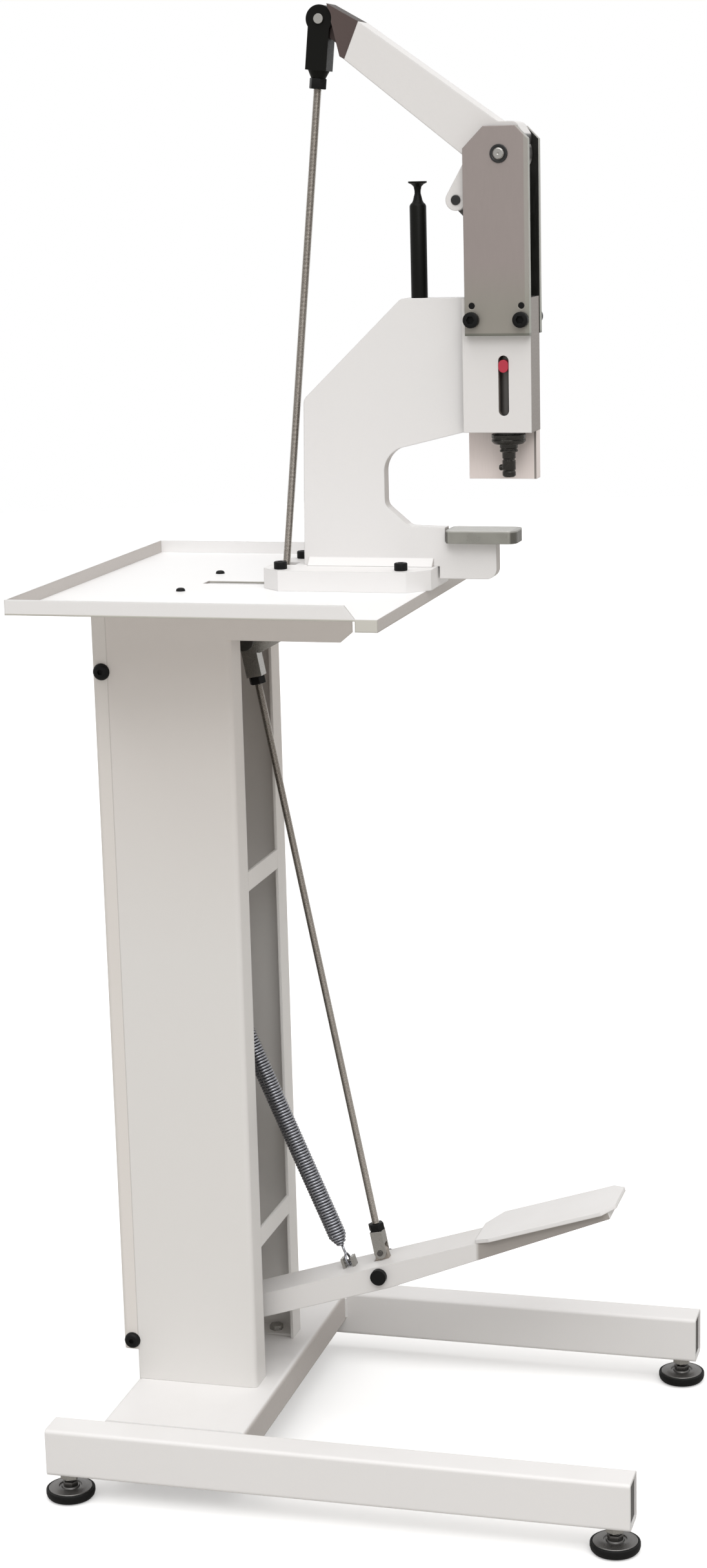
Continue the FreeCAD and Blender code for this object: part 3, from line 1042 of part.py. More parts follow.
# --- Return spring: an envelope of its coils, hooked on the ear pin and on an eyebolt ---------
# Built upright with the ear pin at the origin, then leant back.
wire = "spring_wire / 2"
lower_hook_z = "hook_radius - ear_pin_radius - %s - hook_gap" % wire
upper_hook_z = "spring_length - hook_radius + eyebolt_wire / 2 + %s + 2 * hook_gap" % wire
lead_low = "hook_radius + %s" % lower_hook_z
coil_low = lead_low + " + spring_lead"
coil_high = "%s - hook_radius" % upper_hook_z


def ring(name, z, radius, thickness, turn):
    torus = doc.addObject("Part::Torus", name)
    bind(torus, "Radius1", radius)
    bind(torus, "Radius2", thickness)
    torus.Placement = FreeCAD.Placement(Vector(0, 0, 0), turn)
    place(torus, "spring_side", 0, z)
    return torus


spot = ("spring_side", 0)
barrel = (coil_low + " + spring_cone", coil_high + " - spring_cone")
outside = fuse("spring_outside",
               cone("spring_lower_cone", "z", (coil_low + " - spring_lip", barrel[0]), spot,
                    "spring_mouth", "spring_radius"),
               rod("spring_barrel", "z", barrel, spot, "spring_radius"),
               cone("spring_upper_cone", "z", (barrel[1], coil_high + " + spring_lip"), spot,
                    "spring_radius", "spring_mouth"))
inside = rod("spring_inside", "z", barrel, spot, "spring_radius - spring_wire")
way_out = rod("spring_way", "z", (barrel[0], coil_high + " + spring_lip + over"), spot, "spring_bore")
coils = cut("spring_coils", outside, inside, way_out)
lead = rod("spring_lead_wire", "z", (lead_low + " - " + wire, coil_low), spot, wire)
hook_turn = Rotation(Vector(1, 0, 0), 90)
spring = fuse("spring_hooked", coils, lead,
              ring("spring_lower_hook", lower_hook_z, "hook_radius", wire, hook_turn),
              ring("spring_upper_hook", upper_hook_z, "hook_radius", wire, hook_turn))
tilt(spring, "ear_y", "ear_z", "spring_angle")
node(spring, "return_spring")

# The eyebolt's ring stands across the hook and hangs from a flat bar between the column's sides.
bar_low = "anchor_z + eyebolt_radius * 2 + eyebolt_wire"
bar_top = bar_low + " + spring_bar"
bar = box("spring_bar_flat", ("-inner", "inner"),
          ("anchor_y - spring_bar_width / 2", "anchor_y + spring_bar_width / 2"), (bar_low, bar_top))
bolt_spot = ("spring_side", "anchor_y")
bar_hole = rod("spring_bar_hole", "z", (bar_low + " - over", bar_top + " + over"), bolt_spot,
               "eyebolt_wire / 2 + running_fit")
node(cut("spring_bar_drilled", bar, bar_hole), "spring_bar")
eye_ring = doc.addObject("Part::Torus", "eyebolt_ring")
bind(eye_ring, "Radius1", "eyebolt_radius")
bind(eye_ring, "Radius2", "eyebolt_wire / 2")
along(eye_ring, "x", "spring_side", ("anchor_y", "anchor_z + eyebolt_radius"))
eye_shank = rod("eyebolt_shank", "z", ("anchor_z + eyebolt_radius * 2", bar_top + " + eyebolt_end"),
                bolt_spot, "eyebolt_wire / 2")
eye_nuts = [hexagon("eyebolt_nut%d" % n, "z", (low, low + " + eyebolt_nut"), bolt_spot,
                    "eyebolt_wire * 2")
            for n, low in enumerate((bar_low + " - eyebolt_nut", bar_top))]
node(fuse("eyebolt", eye_ring, eye_shank, *eye_nuts), "spring_eyebolt")

doc.recompute()
bad = [item.Name for item in doc.Objects if "Invalid" in item.State or "Error" in item.State]
bad += [item.Label for item in nodes if item.Shape.isNull() or not item.Shape.isValid()]
if bad:
    raise SystemExit("failed objects: " + ", ".join(bad))
os.makedirs("parts", exist_ok=True)
for item in nodes:
    item.Shape.exportStep("parts/%s.step" % item.Label)
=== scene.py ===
import math

import bmesh
import bpy
from mathutils import Matrix, Vector


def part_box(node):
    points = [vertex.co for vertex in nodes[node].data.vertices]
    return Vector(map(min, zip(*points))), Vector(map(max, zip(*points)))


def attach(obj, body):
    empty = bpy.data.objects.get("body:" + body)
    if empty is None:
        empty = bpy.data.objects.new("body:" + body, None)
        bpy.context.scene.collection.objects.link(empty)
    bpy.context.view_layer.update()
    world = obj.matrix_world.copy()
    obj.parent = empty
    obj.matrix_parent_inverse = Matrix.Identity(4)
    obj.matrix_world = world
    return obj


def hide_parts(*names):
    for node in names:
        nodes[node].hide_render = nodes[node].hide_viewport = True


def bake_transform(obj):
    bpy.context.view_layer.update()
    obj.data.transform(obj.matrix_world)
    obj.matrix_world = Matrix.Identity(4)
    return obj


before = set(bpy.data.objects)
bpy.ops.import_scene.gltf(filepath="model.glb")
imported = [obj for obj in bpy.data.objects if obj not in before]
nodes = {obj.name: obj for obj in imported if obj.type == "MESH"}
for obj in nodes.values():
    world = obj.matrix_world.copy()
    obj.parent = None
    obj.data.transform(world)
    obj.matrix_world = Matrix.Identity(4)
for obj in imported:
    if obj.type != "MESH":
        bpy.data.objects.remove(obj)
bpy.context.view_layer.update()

# --- Camera -----------------------------------------------------------------------------------
# It stands at the worker's left, as high as the lever's pin and 2.8 m away, with a long lens, so
# that the whole machine fits an upright frame.
CAMERA_SPOT = (-2.68899, -0.73614, 1.30218)
CAMERA_DEGREES = (76.2533, 1.2150, -75.5558)
LENS, SHIFT_X, SHIFT_Y, FARTHEST = 64.93, -0.0313, 0.0548, 30
scene = bpy.context.scene


def placed(name, data):
    """A new object of some data, linked into the scene."""
    thing = bpy.data.objects.new(name, data)
    scene.collection.objects.link(thing)
    return thing


camera = placed("camera", bpy.data.cameras.new("camera"))
camera.location = CAMERA_SPOT
camera.rotation_euler = [math.radians(angle) for angle in CAMERA_DEGREES]
camera.data.lens = LENS
camera.data.shift_x = SHIFT_X
camera.data.shift_y = SHIFT_Y
camera.data.clip_end = FARTHEST
scene.camera = camera
scene.view_settings.view_transform = "Standard"

# --- Studio -----------------------------------------------------------------------------------
# A pale seamless floor, an even white surround, a broad soft light from above and two large soft
# lamps: one high at the worker's left and a much weaker one in front. Floor and surround are
# white where they are seen, and dimmer and warmer where they light the machine.
LAMPS = (  # name, place, aim, size, watts
    ("lamp_left", (-3.0, -1.2, 3.0), (0.0, 0.0, 0.8), 2.0, 29),
    ("lamp_front", (0.9, -3.3, 2.4), (0.0, 0.0, 0.9), 1.8, 3),
)
ABOVE_STRENGTH, ABOVE_SPREAD, ABOVE_WAY = 2.0, 70, (0.35, 0.10, -1.0)
WHITE = (1.0, 1.0, 1.0, 1.0)
SURROUND_LIGHT, SURROUND_SEEN, SURROUND_WARM = 0.38, 1.0, (1.0, 0.965, 0.93, 1.0)
FLOOR_LIGHT, FLOOR_SEEN, FLOOR_GLOW = (0.61, 0.60, 0.58, 1.0), (0.93, 0.93, 0.93, 1.0), 0.34
FLOOR_RADIUS, FLOOR_DROP = 9.0, 0.0004


def looking(way):
    """The turn of a light that shines one way."""
    return Vector(way).to_track_quat("-Z", "Y").to_euler()


def add(tree, kind, **settings):
    """A new shader node; settings name its properties or, with spaces as underscores, sockets."""
    shader_node = tree.nodes.new(kind)
    for key, value in settings.items():
        if hasattr(shader_node, key):
            setattr(shader_node, key, value)
        else:
            shader_node.inputs[key.replace("_", " ")].default_value = value
    return shader_node


def wire(tree, *links):
    """Join sockets: each link is an output and an input."""
    for source, target in links:
        tree.links.new(source, target)


for name, spot, aim, size, watts in LAMPS:
    lamp = placed(name, bpy.data.lights.new(name, "AREA"))
    lamp.data.shape = "DISK"
    lamp.data.size = size
    lamp.data.energy = watts
    lamp.location = spot
    lamp.rotation_euler = looking(Vector(aim) - Vector(spot))
above = placed("light_above", bpy.data.lights.new("light_above", "SUN"))
above.data.energy = ABOVE_STRENGTH
above.data.angle = math.radians(ABOVE_SPREAD)
above.rotation_euler = looking(ABOVE_WAY)

world = bpy.data.worlds.new("surround")
world.use_nodes = True
scene.world = world
sky = world.node_tree
surround = sky.nodes["Background"]
rays = add(sky, "ShaderNodeLightPath")
seen = add(sky, "ShaderNodeMath", operation="MAXIMUM")
seen_through = add(sky, "ShaderNodeMath", operation="MAXIMUM")
level = add(sky, "ShaderNodeMapRange", To_Min=SURROUND_LIGHT, To_Max=SURROUND_SEEN)
warmth = add(sky, "ShaderNodeMix", data_type="RGBA")
warmth.inputs[6].default_value, warmth.inputs[7].default_value = SURROUND_WARM, WHITE
wire(sky, (rays.outputs["Is Camera Ray"], seen.inputs[0]),
     (rays.outputs["Is Glossy Ray"], seen.inputs[1]),
     (seen.outputs[0], seen_through.inputs[0]),
     (rays.outputs["Is Transmission Ray"], seen_through.inputs[1]),
     (seen_through.outputs[0], level.inputs["Value"]),
     (seen_through.outputs[0], warmth.inputs["Factor"]),
     (level.outputs["Result"], surround.inputs["Strength"]),
     (warmth.outputs[2], surround.inputs["Color"]))

floor_mesh = bmesh.new()
bmesh.ops.create_circle(floor_mesh, cap_ends=True, radius=FLOOR_RADIUS, segments=64,
                        matrix=Matrix.Translation((0, 0, -FLOOR_DROP)))
floor_data = bpy.data.meshes.new("floor")
floor_mesh.to_mesh(floor_data)
floor_mesh.free()
floor = placed("floor", floor_data)
floor_paint = bpy.data.materials.new("floor_paint")
floor_paint.use_nodes = True
floor_tree = floor_paint.node_tree
floor_shader = floor_tree.nodes["Principled BSDF"]
floor_shader.inputs["Roughness"].default_value = 0.9
floor_shader.inputs["Specular IOR Level"].default_value = 0.1
floor_shader.inputs["Emission Color"].default_value = WHITE
floor_rays = add(floor_tree, "ShaderNodeLightPath")
glow = add(floor_tree, "ShaderNodeMath", operation="MULTIPLY")
glow.inputs[1].default_value = FLOOR_GLOW
shade = add(floor_tree, "ShaderNodeMix", data_type="RGBA")
shade.inputs[6].default_value, shade.inputs[7].default_value = FLOOR_LIGHT, FLOOR_SEEN
wire(floor_tree, (floor_rays.outputs["Is Camera Ray"], shade.inputs["Factor"]),
     (shade.outputs[2], floor_shader.inputs["Base Color"]),
     (floor_rays.outputs["Is Camera Ray"], glow.inputs[0]),
     (glow.outputs[0], floor_shader.inputs["Emission Strength"]))
floor_data.materials.append(floor_paint)

# --- Levelling feet ---------------------------------------------------------------------------
# Four adjustable feet: a black rubber tread under a wide pressed steel disc, and a zinc-plated
# M10 stud with a hexagon, which screws up through a nut into the rail.
FLOAT, VECTOR = "NodeSocketFloat", "NodeSocketVector"


def effect(name, inputs, outputs):
    """An empty shader node group with its named sockets, ready to be filled."""
    group = bpy.data.node_groups.new(name, "ShaderNodeTree")
    for label, kind, value in inputs:
        socket = group.interface.new_socket(label, in_out="INPUT", socket_type=kind)
        socket.default_value = value
    for label, kind in outputs:
        group.interface.new_socket(label, in_out="OUTPUT", socket_type=kind)
    return group, group.nodes.new("NodeGroupInput"), group.nodes.new("NodeGroupOutput")


# Edge wear: where a face turns over an edge, broken up by noise, and the rounded edge's normal.
edge_wear, into, out = effect("edge_wear", [("Width", FLOAT, 0.001), ("Patch", FLOAT, 60.0)],
                              [("Mask", FLOAT), ("Normal", VECTOR)])
rounded = add(edge_wear, "ShaderNodeBevel", samples=6)
flat = add(edge_wear, "ShaderNodeNewGeometry")
turn = add(edge_wear, "ShaderNodeVectorMath", operation="DOT_PRODUCT")
steep = add(edge_wear, "ShaderNodeMapRange", From_Min=0.97, From_Max=0.80)
where = add(edge_wear, "ShaderNodeTexCoord")
patches = add(edge_wear, "ShaderNodeTexNoise", Detail=4.0)
broken = add(edge_wear, "ShaderNodeMapRange", From_Min=0.42, From_Max=0.62)
both = add(edge_wear, "ShaderNodeMath", operation="MULTIPLY")
wire(edge_wear, (into.outputs["Width"], rounded.inputs["Radius"]),
     (rounded.outputs[0], turn.inputs[0]), (flat.outputs["Normal"], turn.inputs[1]),
     (turn.outputs["Value"], steep.inputs["Value"]),
     (where.outputs["Object"], patches.inputs["Vector"]),
     (into.outputs["Patch"], patches.inputs["Scale"]),
     (patches.outputs[0], broken.inputs["Value"]),
     (steep.outputs[0], both.inputs[0]), (broken.outputs[0], both.inputs[1]),
     (both.outputs[0], out.inputs["Mask"]), (rounded.outputs[0], out.inputs["Normal"]))

# Grain: a slow drift of tone over the piece and a fine tooth on its surface.
grain, into, out = effect("grain", [("Stretch", VECTOR, (1.0, 1.0, 1.0)), ("Drift", FLOAT, 6.0),
                                    ("Tooth", FLOAT, 900.0)],
                          [("Tone", FLOAT), ("Height", FLOAT)])
where = add(grain, "ShaderNodeTexCoord")
stretched = add(grain, "ShaderNodeVectorMath", operation="MULTIPLY")
slow = add(grain, "ShaderNodeTexNoise", Detail=3.0)
fine = add(grain, "ShaderNodeTexNoise", Detail=2.0)
wire(grain, (where.outputs["Object"], stretched.inputs[0]),
     (into.outputs["Stretch"], stretched.inputs[1]),
     (where.outputs["Object"], slow.inputs["Vector"]),
     (into.outputs["Drift"], slow.inputs["Scale"]), (stretched.outputs[0], fine.inputs["Vector"]),
     (into.outputs["Tooth"], fine.inputs["Scale"]), (slow.outputs[0], out.inputs["Tone"]),
     (fine.outputs[0], out.inputs["Height"]))

# Dust: what settles on faces that look up, thin and uneven.
dust, into, out = effect("dust", [("Patch", FLOAT, 14.0)], [("Mask", FLOAT)])
surface = add(dust, "ShaderNodeNewGeometry")
parts = add(dust, "ShaderNodeSeparateXYZ")
upward = add(dust, "ShaderNodeMapRange", From_Min=0.6, From_Max=0.95)
where = add(dust, "ShaderNodeTexCoord")
cloud = add(dust, "ShaderNodeTexNoise", Detail=6.0)
thin = add(dust, "ShaderNodeMapRange", From_Min=0.45, From_Max=0.75)
both = add(dust, "ShaderNodeMath", operation="MULTIPLY")
wire(dust, (surface.outputs["Normal"], parts.inputs[0]),
     (parts.outputs["Z"], upward.inputs["Value"]),
     (where.outputs["Object"], cloud.inputs["Vector"]),
     (into.outputs["Patch"], cloud.inputs["Scale"]), (cloud.outputs[0], thin.inputs["Value"]),
     (upward.outputs[0], both.inputs[0]), (thin.outputs[0], both.inputs[1]),
     (both.outputs[0], out.inputs["Mask"]))
DUST_COLOUR = (0.62, 0.60, 0.56)


def use(tree, group, **values):
    """Place a node group in a material with its own values."""
    chosen = tree.nodes.new("ShaderNodeGroup")
    chosen.node_tree = group
    for key, value in values.items():
        chosen.inputs[key].default_value = value
    return chosen


def blend_colour(tree, mask, low, high, share=1.0):
    """Colour that runs from low to high by a mask; either end may be a colour or a socket."""
    mix = add(tree, "ShaderNodeMix", data_type="RGBA")
    weight = add(tree, "ShaderNodeMath", operation="MULTIPLY")
    weight.inputs[1].default_value = share
    wire(tree, (mask, weight.inputs[0]), (weight.outputs[0], mix.inputs["Factor"]))
    for socket, value in ((mix.inputs[6], low), (mix.inputs[7], high)):
        if isinstance(value, (tuple, list)):
            socket.default_value = (*value, 1.0)
        else:
            wire(tree, (value, socket))
    return mix.outputs[2]


def finish_of(name, colour, worn, roughness, metallic=0.0, edge=0.001, wear=0.5, drift=0.05,
              stretch=(1.0, 1.0, 1.0), tooth=900.0, tooth_depth=0.00002, spread=0.08, dusty=0.0,
              patch=60.0, specular=0.5):
    """A whole finish: tone drift, fine tooth, worn edges and dust over one Principled shader."""
    material = bpy.data.materials.new(name)
    material.use_nodes = True
    tree = material.node_tree
    shader = tree.nodes["Principled BSDF"]
    skin = use(tree, grain, Stretch=stretch, Tooth=tooth)
    edges = use(tree, edge_wear, Width=edge, Patch=patch)
    darker = tuple(channel * (1 - drift) for channel in colour)
    lighter = tuple(min(1.0, channel * (1 + drift)) for channel in colour)
    toned = blend_colour(tree, skin.outputs["Tone"], darker, lighter)
    toothed = blend_colour(tree, skin.outputs["Height"], darker, toned)
    base = blend_colour(tree, edges.outputs["Mask"], toothed, worn, wear)
    rough = add(tree, "ShaderNodeMapRange", From_Min=0.3, From_Max=0.7,
                To_Min=max(0.0, roughness - spread), To_Max=roughness + spread)
    wire(tree, (skin.outputs["Height"], rough.inputs["Value"]))
    dullness = rough.outputs[0]
    if dusty:
        film = use(tree, dust)
        base = blend_colour(tree, film.outputs["Mask"], base, DUST_COLOUR, dusty)
        dull = add(tree, "ShaderNodeMath", operation="MULTIPLY_ADD")
        dull.inputs[1].default_value = dusty
        wire(tree, (film.outputs["Mask"], dull.inputs[0]), (dullness, dull.inputs[2]))
        dullness = dull.outputs[0]
    bump = add(tree, "ShaderNodeBump", Strength=1.0, Distance=tooth_depth)
    wire(tree, (skin.outputs["Height"], bump.inputs["Height"]),
         (edges.outputs["Normal"], bump.inputs["Normal"]), (base, shader.inputs["Base Color"]),
         (dullness, shader.inputs["Roughness"]), (bump.outputs[0], shader.inputs["Normal"]))
    shader.inputs["Metallic"].default_value = metallic
    shader.inputs["Specular IOR Level"].default_value = specular
    return material


def tint(material, mask, colour, share=1.0):
    """Lay a colour over a finish where a mask of its own node tree says."""
    tree = material.node_tree
    base = tree.nodes["Principled BSDF"].inputs["Base Color"]
    wire(tree, (blend_colour(tree, mask, base.links[0].from_socket, colour, share), base))


def carved(material):
    """A mask from the recess attribute that screw threads carry."""
    recess = add(material.node_tree, "ShaderNodeAttribute", attribute_name="recess")
    return recess.outputs["Fac"]


def coat(node_name, material):
    """Give a CAD node its finish."""
    slots = nodes[node_name].material_slots
    for slot in slots:
        slot.material = material
    if not slots:
        nodes[node_name].data.materials.append(material)


def piece(bm, name, material, body, slot, *stands_for):
    """Turn a finished bmesh into a piece of the machine on the body that carries it."""
    bmesh.ops.recalc_face_normals(bm, faces=bm.faces)
    mesh = bpy.data.meshes.new(name)
    bm.to_mesh(mesh)
    bm.free()
    mesh.materials.append(material)
    mesh.shade_smooth()
    mesh.set_sharp_from_angle(angle=math.radians(32))
    made = placed(name, mesh)
    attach(made, body)
    if stands_for:
        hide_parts(*stands_for)


def merge_into(bm, other, place=Matrix()):
    """Add one bmesh to another at a place."""
    other.transform(place)
    carrier = bpy.data.meshes.new("carrier")
    other.to_mesh(carrier)
    other.free()
    bm.from_mesh(carrier)
    bpy.data.meshes.remove(carrier)


def turned(bm, outline, segments=48):
    """A turned shape: (radius, height) points spun round the z axis, closed on it at both ends."""
    corners = [bm.verts.new((radius, 0, height)) for radius, height in outline]
    lines = [bm.edges.new(pair) for pair in zip(corners, corners[1:])]
    bmesh.ops.spin(bm, geom=corners + lines, cent=(0, 0, 0), axis=(0, 0, 1), dvec=(0, 0, 0),
                   angle=math.tau, steps=segments, use_merge=True, use_duplicate=False)
    bmesh.ops.remove_doubles(bm, verts=bm.verts, dist=1e-7)


def everything(bm):
    """All the vertices, edges and faces of a bmesh."""
    return bm.verts[:] + bm.edges[:] + bm.faces[:]


def thread(bm, crest, root, pitch, low, high):
    """A screw thread on the z axis: one turn is spun, repeated by doubling, then cut to length."""
    sides, flank = 14, 0.44
    fresh = bmesh.new()
    recess = fresh.verts.layers.float.new("recess")
    start = low - 2 * pitch
    corners = [fresh.verts.new((radius, 0, start + share * pitch))
               for radius, share in ((root, 0), (crest, flank), (crest, 1 - flank), (root, 1))]
    corners[0][recess] = corners[-1][recess] = 1.0
    lines = [fresh.edges.new(pair) for pair in zip(corners, corners[1:])]
    bmesh.ops.spin(fresh, geom=corners + lines, cent=(0, 0, 0), axis=(0, 0, 1),
                   dvec=(0, 0, pitch / sides), angle=math.tau, steps=sides, use_merge=False,
                   use_duplicate=False)
    turns = 1
    while start + turns * pitch < high + 2 * pitch:
        again = bmesh.ops.duplicate(fresh, geom=everything(fresh))
        moved = [item for item in again["geom"] if isinstance(item, bmesh.types.BMVert)]
        bmesh.ops.translate(fresh, verts=moved, vec=(0, 0, turns * pitch))
        turns *= 2
    bmesh.ops.remove_doubles(fresh, verts=fresh.verts, dist=pitch * 0.01)
    for height, up in ((low, -1), (high, 1)):
        cut = bmesh.ops.bisect_plane(fresh, geom=everything(fresh), dist=1e-7, clear_outer=True,
                                     plane_co=(0, 0, height), plane_no=(0, 0, up))
        rim = [item for item in cut["geom_cut"] if isinstance(item, bmesh.types.BMEdge)]
        bmesh.ops.edgeloop_fill(fresh, edges=rim)
    merge_into(bm, fresh)


def hexagon(bm, flats, low, high):
    """A hexagonal bar on the z axis with its corners taken off at both ends."""
    chamfer, corner = 0.0007, flats / math.sqrt(3)
    fresh = bmesh.new()
    bmesh.ops.create_cone(fresh, cap_ends=True, segments=6, radius1=corner, radius2=corner,
                          depth=high - low, matrix=Matrix.Translation((0, 0, (low + high) / 2)))
    ends = [edge for edge in fresh.edges if abs(edge.verts[0].co.z - edge.verts[1].co.z) < 1e-6]
    bmesh.ops.bevel(fresh, geom=ends, offset=chamfer, offset_type="OFFSET", segments=2,
                    profile=0.5, affect="EDGES", material=-1)
    merge_into(bm, fresh)


rubber = finish_of("tread_rubber", (0.007, 0.007, 0.007), (0.03, 0.03, 0.03), 0.55, edge=0.0008,
                   tooth=1400.0, tooth_depth=0.00006, dusty=0.03, patch=90.0, specular=0.14)
foot_steel = finish_of("foot_disc_steel", (0.17, 0.165, 0.16), (0.55, 0.54, 0.52), 0.34,
                       metallic=0.85, edge=0.0006, drift=0.2, tooth=700.0, dusty=0.05)
zinc = finish_of("bright_zinc", (0.36, 0.35, 0.33), (0.72, 0.71, 0.69), 0.30, metallic=1.0,
                 edge=0.0004, drift=0.12, tooth=1500.0, tooth_depth=0.00001)
dull_zinc = finish_of("dull_zinc", (0.12, 0.115, 0.11), (0.62, 0.61, 0.60), 0.34, metallic=0.9,
                      edge=0.0006, drift=0.25, tooth=900.0, patch=220.0)
# Painted shade: the roots of the stud's thread are painted near black.
tint(dull_zinc, carved(dull_zinc), (0.02, 0.018, 0.016), 0.8)

FEET = (("front_left", -1, -1), ("front_right", 1, -1), ("rear_left", -1, 1), ("rear_right", 1, 1))
FOOT_X, FOOT_Y = 0.206, 0.282
TREAD = ((0, 0), (0.0195, 0), (0.0225, 0.0010), (0.0242, 0.0030), (0.0250, 0.0058),
         (0.0250, 0.0090), (0.0247, 0.0101), (0.0238, 0.0107), (0.0228, 0.0105),
         (0.0224, 0.0097), (0, 0.0097))
DISC = ((0, 0.0096), (0.0223, 0.0096), (0.0223, 0.0108), (0.0217, 0.0113), (0.0200, 0.0113),
        (0.0165, 0.0121), (0.0130, 0.0127), (0.0118, 0.0126), (0.0112, 0.0114),
        (0.0094, 0.0112), (0.0086, 0.0129), (0, 0.0129))
STUD_FLATS, STUD_LOW, STUD_SHOULDER, STUD_TOP = 0.014, 0.0128, 0.018, 0.0588
STUD_THREAD = (0.00495, 0.0042, 0.0015)
for tag, x_side, y_side in FEET:
    place = Matrix.Translation((x_side * FOOT_X, y_side * FOOT_Y, 0))
    body = "foot_" + tag
    tread = bmesh.new()
    turned(tread, TREAD)
    tread.transform(place)
    piece(tread, "tread_" + tag, rubber, body, "foot_metal", body)
    disc = bmesh.new()
    turned(disc, DISC)
    disc.transform(place)
    piece(disc, "disc_" + tag, foot_steel, body, "foot_metal")
    stud = bmesh.new()
    hexagon(stud, STUD_FLATS, STUD_LOW, STUD_SHOULDER)
    thread(stud, *STUD_THREAD, STUD_SHOULDER, STUD_TOP)
    stud.transform(place)
    piece(stud, "stud_" + tag, dull_zinc, body, "foot_metal")
coat("foot_nuts", zinc)

# --- Rails and cross-member -------------------------------------------------------------------
# Two lengths of rectangular steel tube and a folded channel, welded into an H, powder coated
# white; a black plastic cap closes each end of each tube.
FRONT = (0, -1, 0)


def powder_coat(name, colour, worn=(0.66, 0.64, 0.61), roughness=0.40, edge=0.0016, wear=0.30,
                drift=0.012, dusty=0.10):
    """Baked paint on steel: a faint orange peel, rubbed at its edges."""
    return finish_of(name, colour, worn, roughness, edge=edge, wear=wear, drift=drift,
                     tooth=520.0, tooth_depth=0.00004, spread=0.06, dusty=dusty, patch=45.0,
                     specular=0.45)


def turned_to(material, direction, start=0.5, end=0.9):
    """A mask that is 1 on faces that look in a direction of the object's own axes."""
    tree = material.node_tree
    place = add(tree, "ShaderNodeTexCoord")
    dot = add(tree, "ShaderNodeVectorMath", operation="DOT_PRODUCT")
    dot.inputs[1].default_value = direction
    step = add(tree, "ShaderNodeMapRange", From_Min=start, From_Max=end)
    wire(tree, (place.outputs["Normal"], dot.inputs[0]),
         (dot.outputs["Value"], step.inputs["Value"]))
    return step.outputs[0]


white = powder_coat("white_powder_coat", (0.84, 0.828, 0.822))
base_paint = powder_coat("base_powder_coat", (0.84, 0.828, 0.822), drift=0.02)
# Painted shade: faces that look to the front are painted a darker brownish grey, as if in shade.
tint(base_paint, turned_to(base_paint, FRONT), (0.46, 0.415, 0.385), 0.7)
cap_plastic = finish_of("cap_plastic", (0.055, 0.050, 0.047), (0.16, 0.15, 0.14), 0.52,
                        edge=0.0010, tooth=1100.0, tooth_depth=0.00005, dusty=0.15)
coat("foot_rails", white)
coat("base_crossmember", base_paint)
coat("rail_end_caps", cap_plastic)

# --- Weld beads -------------------------------------------------------------------------------
# The cross-member's skirts are welded to the rails with short upright beads, laid in overlapping
# ripples and painted over.
BEAD_RADIUS, RIPPLE, WAIST = 0.0022, 0.0011, 0.84
BEAD_START, BEAD_STOP = 0.002, 0.006


def between(low, high):
    """The place of a rod that runs up the z axis from low towards high."""
    turn = Vector((0, 0, 1)).rotation_difference(high - low)
    return Matrix.Translation(low) @ turn.to_matrix().to_4x4()


def grow(bm, edge):
    """Extrude a closed edge loop in place: the new loop's vertices and edges."""
    grown = bmesh.ops.extrude_edge_only(bm, edges=edge)["geom"]
    rim = [item for item in grown if isinstance(item, bmesh.types.BMVert)]
    return rim, [item for item in grown if isinstance(item, bmesh.types.BMEdge)
                 and item.verts[0] in rim and item.verts[1] in rim]


def angle_of(vertex):
    """A vertex's angle round the z axis."""
    return math.atan2(vertex.co.y, vertex.co.x)


def bead(bm, start, end, radius):
    """A weld bead from start to end: a ring drawn along the seam, wider and narrower in turn."""
    fresh = bmesh.new()
    length = (end - start).length
    count = 2 * round(length / RIPPLE / 2)
    bmesh.ops.create_circle(fresh, cap_ends=True, radius=radius * 0.5, segments=10)
    edge = fresh.edges[:]
    for step in range(1, count + 1):
        rim, edge = grow(fresh, edge)
        reach = radius * (0.5 if step == count else 1.0 if step % 2 else WAIST)
        for vertex in rim:
            angle = angle_of(vertex)
            vertex.co = (reach * math.cos(angle), reach * math.sin(angle), step * length / count)
    bmesh.ops.edgeloop_fill(fresh, edges=edge)
    merge_into(bm, fresh, between(start, end))


beads = bmesh.new()
cross_low, cross_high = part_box("base_crossmember")
for x in (cross_low.x, cross_high.x):
    for y in (cross_low.y, cross_high.y):
        bead(beads, Vector((x, y, cross_low.z + BEAD_START)),
             Vector((x, y, cross_high.z - BEAD_STOP)), BEAD_RADIUS)
piece(beads, "crossmember_welds", white, "frame", "white_paint")

# --- Column -----------------------------------------------------------------------------------
# Two folded sheet steel sides with lips and short arms, joined by two crossbars at the front and
# a shallow channel at the rear, white like the base; four zinc bolts hold it on the cross-member,
# and black domed bolts end the two shafts that carry the pedal and the transfer lever.
INSIDE_X, INSIDE_Y = 0.0815, (0.1235, 0.2455)
SHADE_LOW, SHADE_HIGH, SHADE_FADE = 0.84, 0.92, 0.30
SHAFT_Y, SHAFT_HEIGHTS, SIDE_X = 0.254, (0.122, 0.833), 0.0825
DOME = ((0.0045, 0.0050), (0.0062, 0.0046), (0.0074, 0.0036), (0.0082, 0.0022), (0.0085, 0.0010),
        (0.0085, 0.0))
DOME_KEY, DOME_DEPTH = 0.005, 0.003


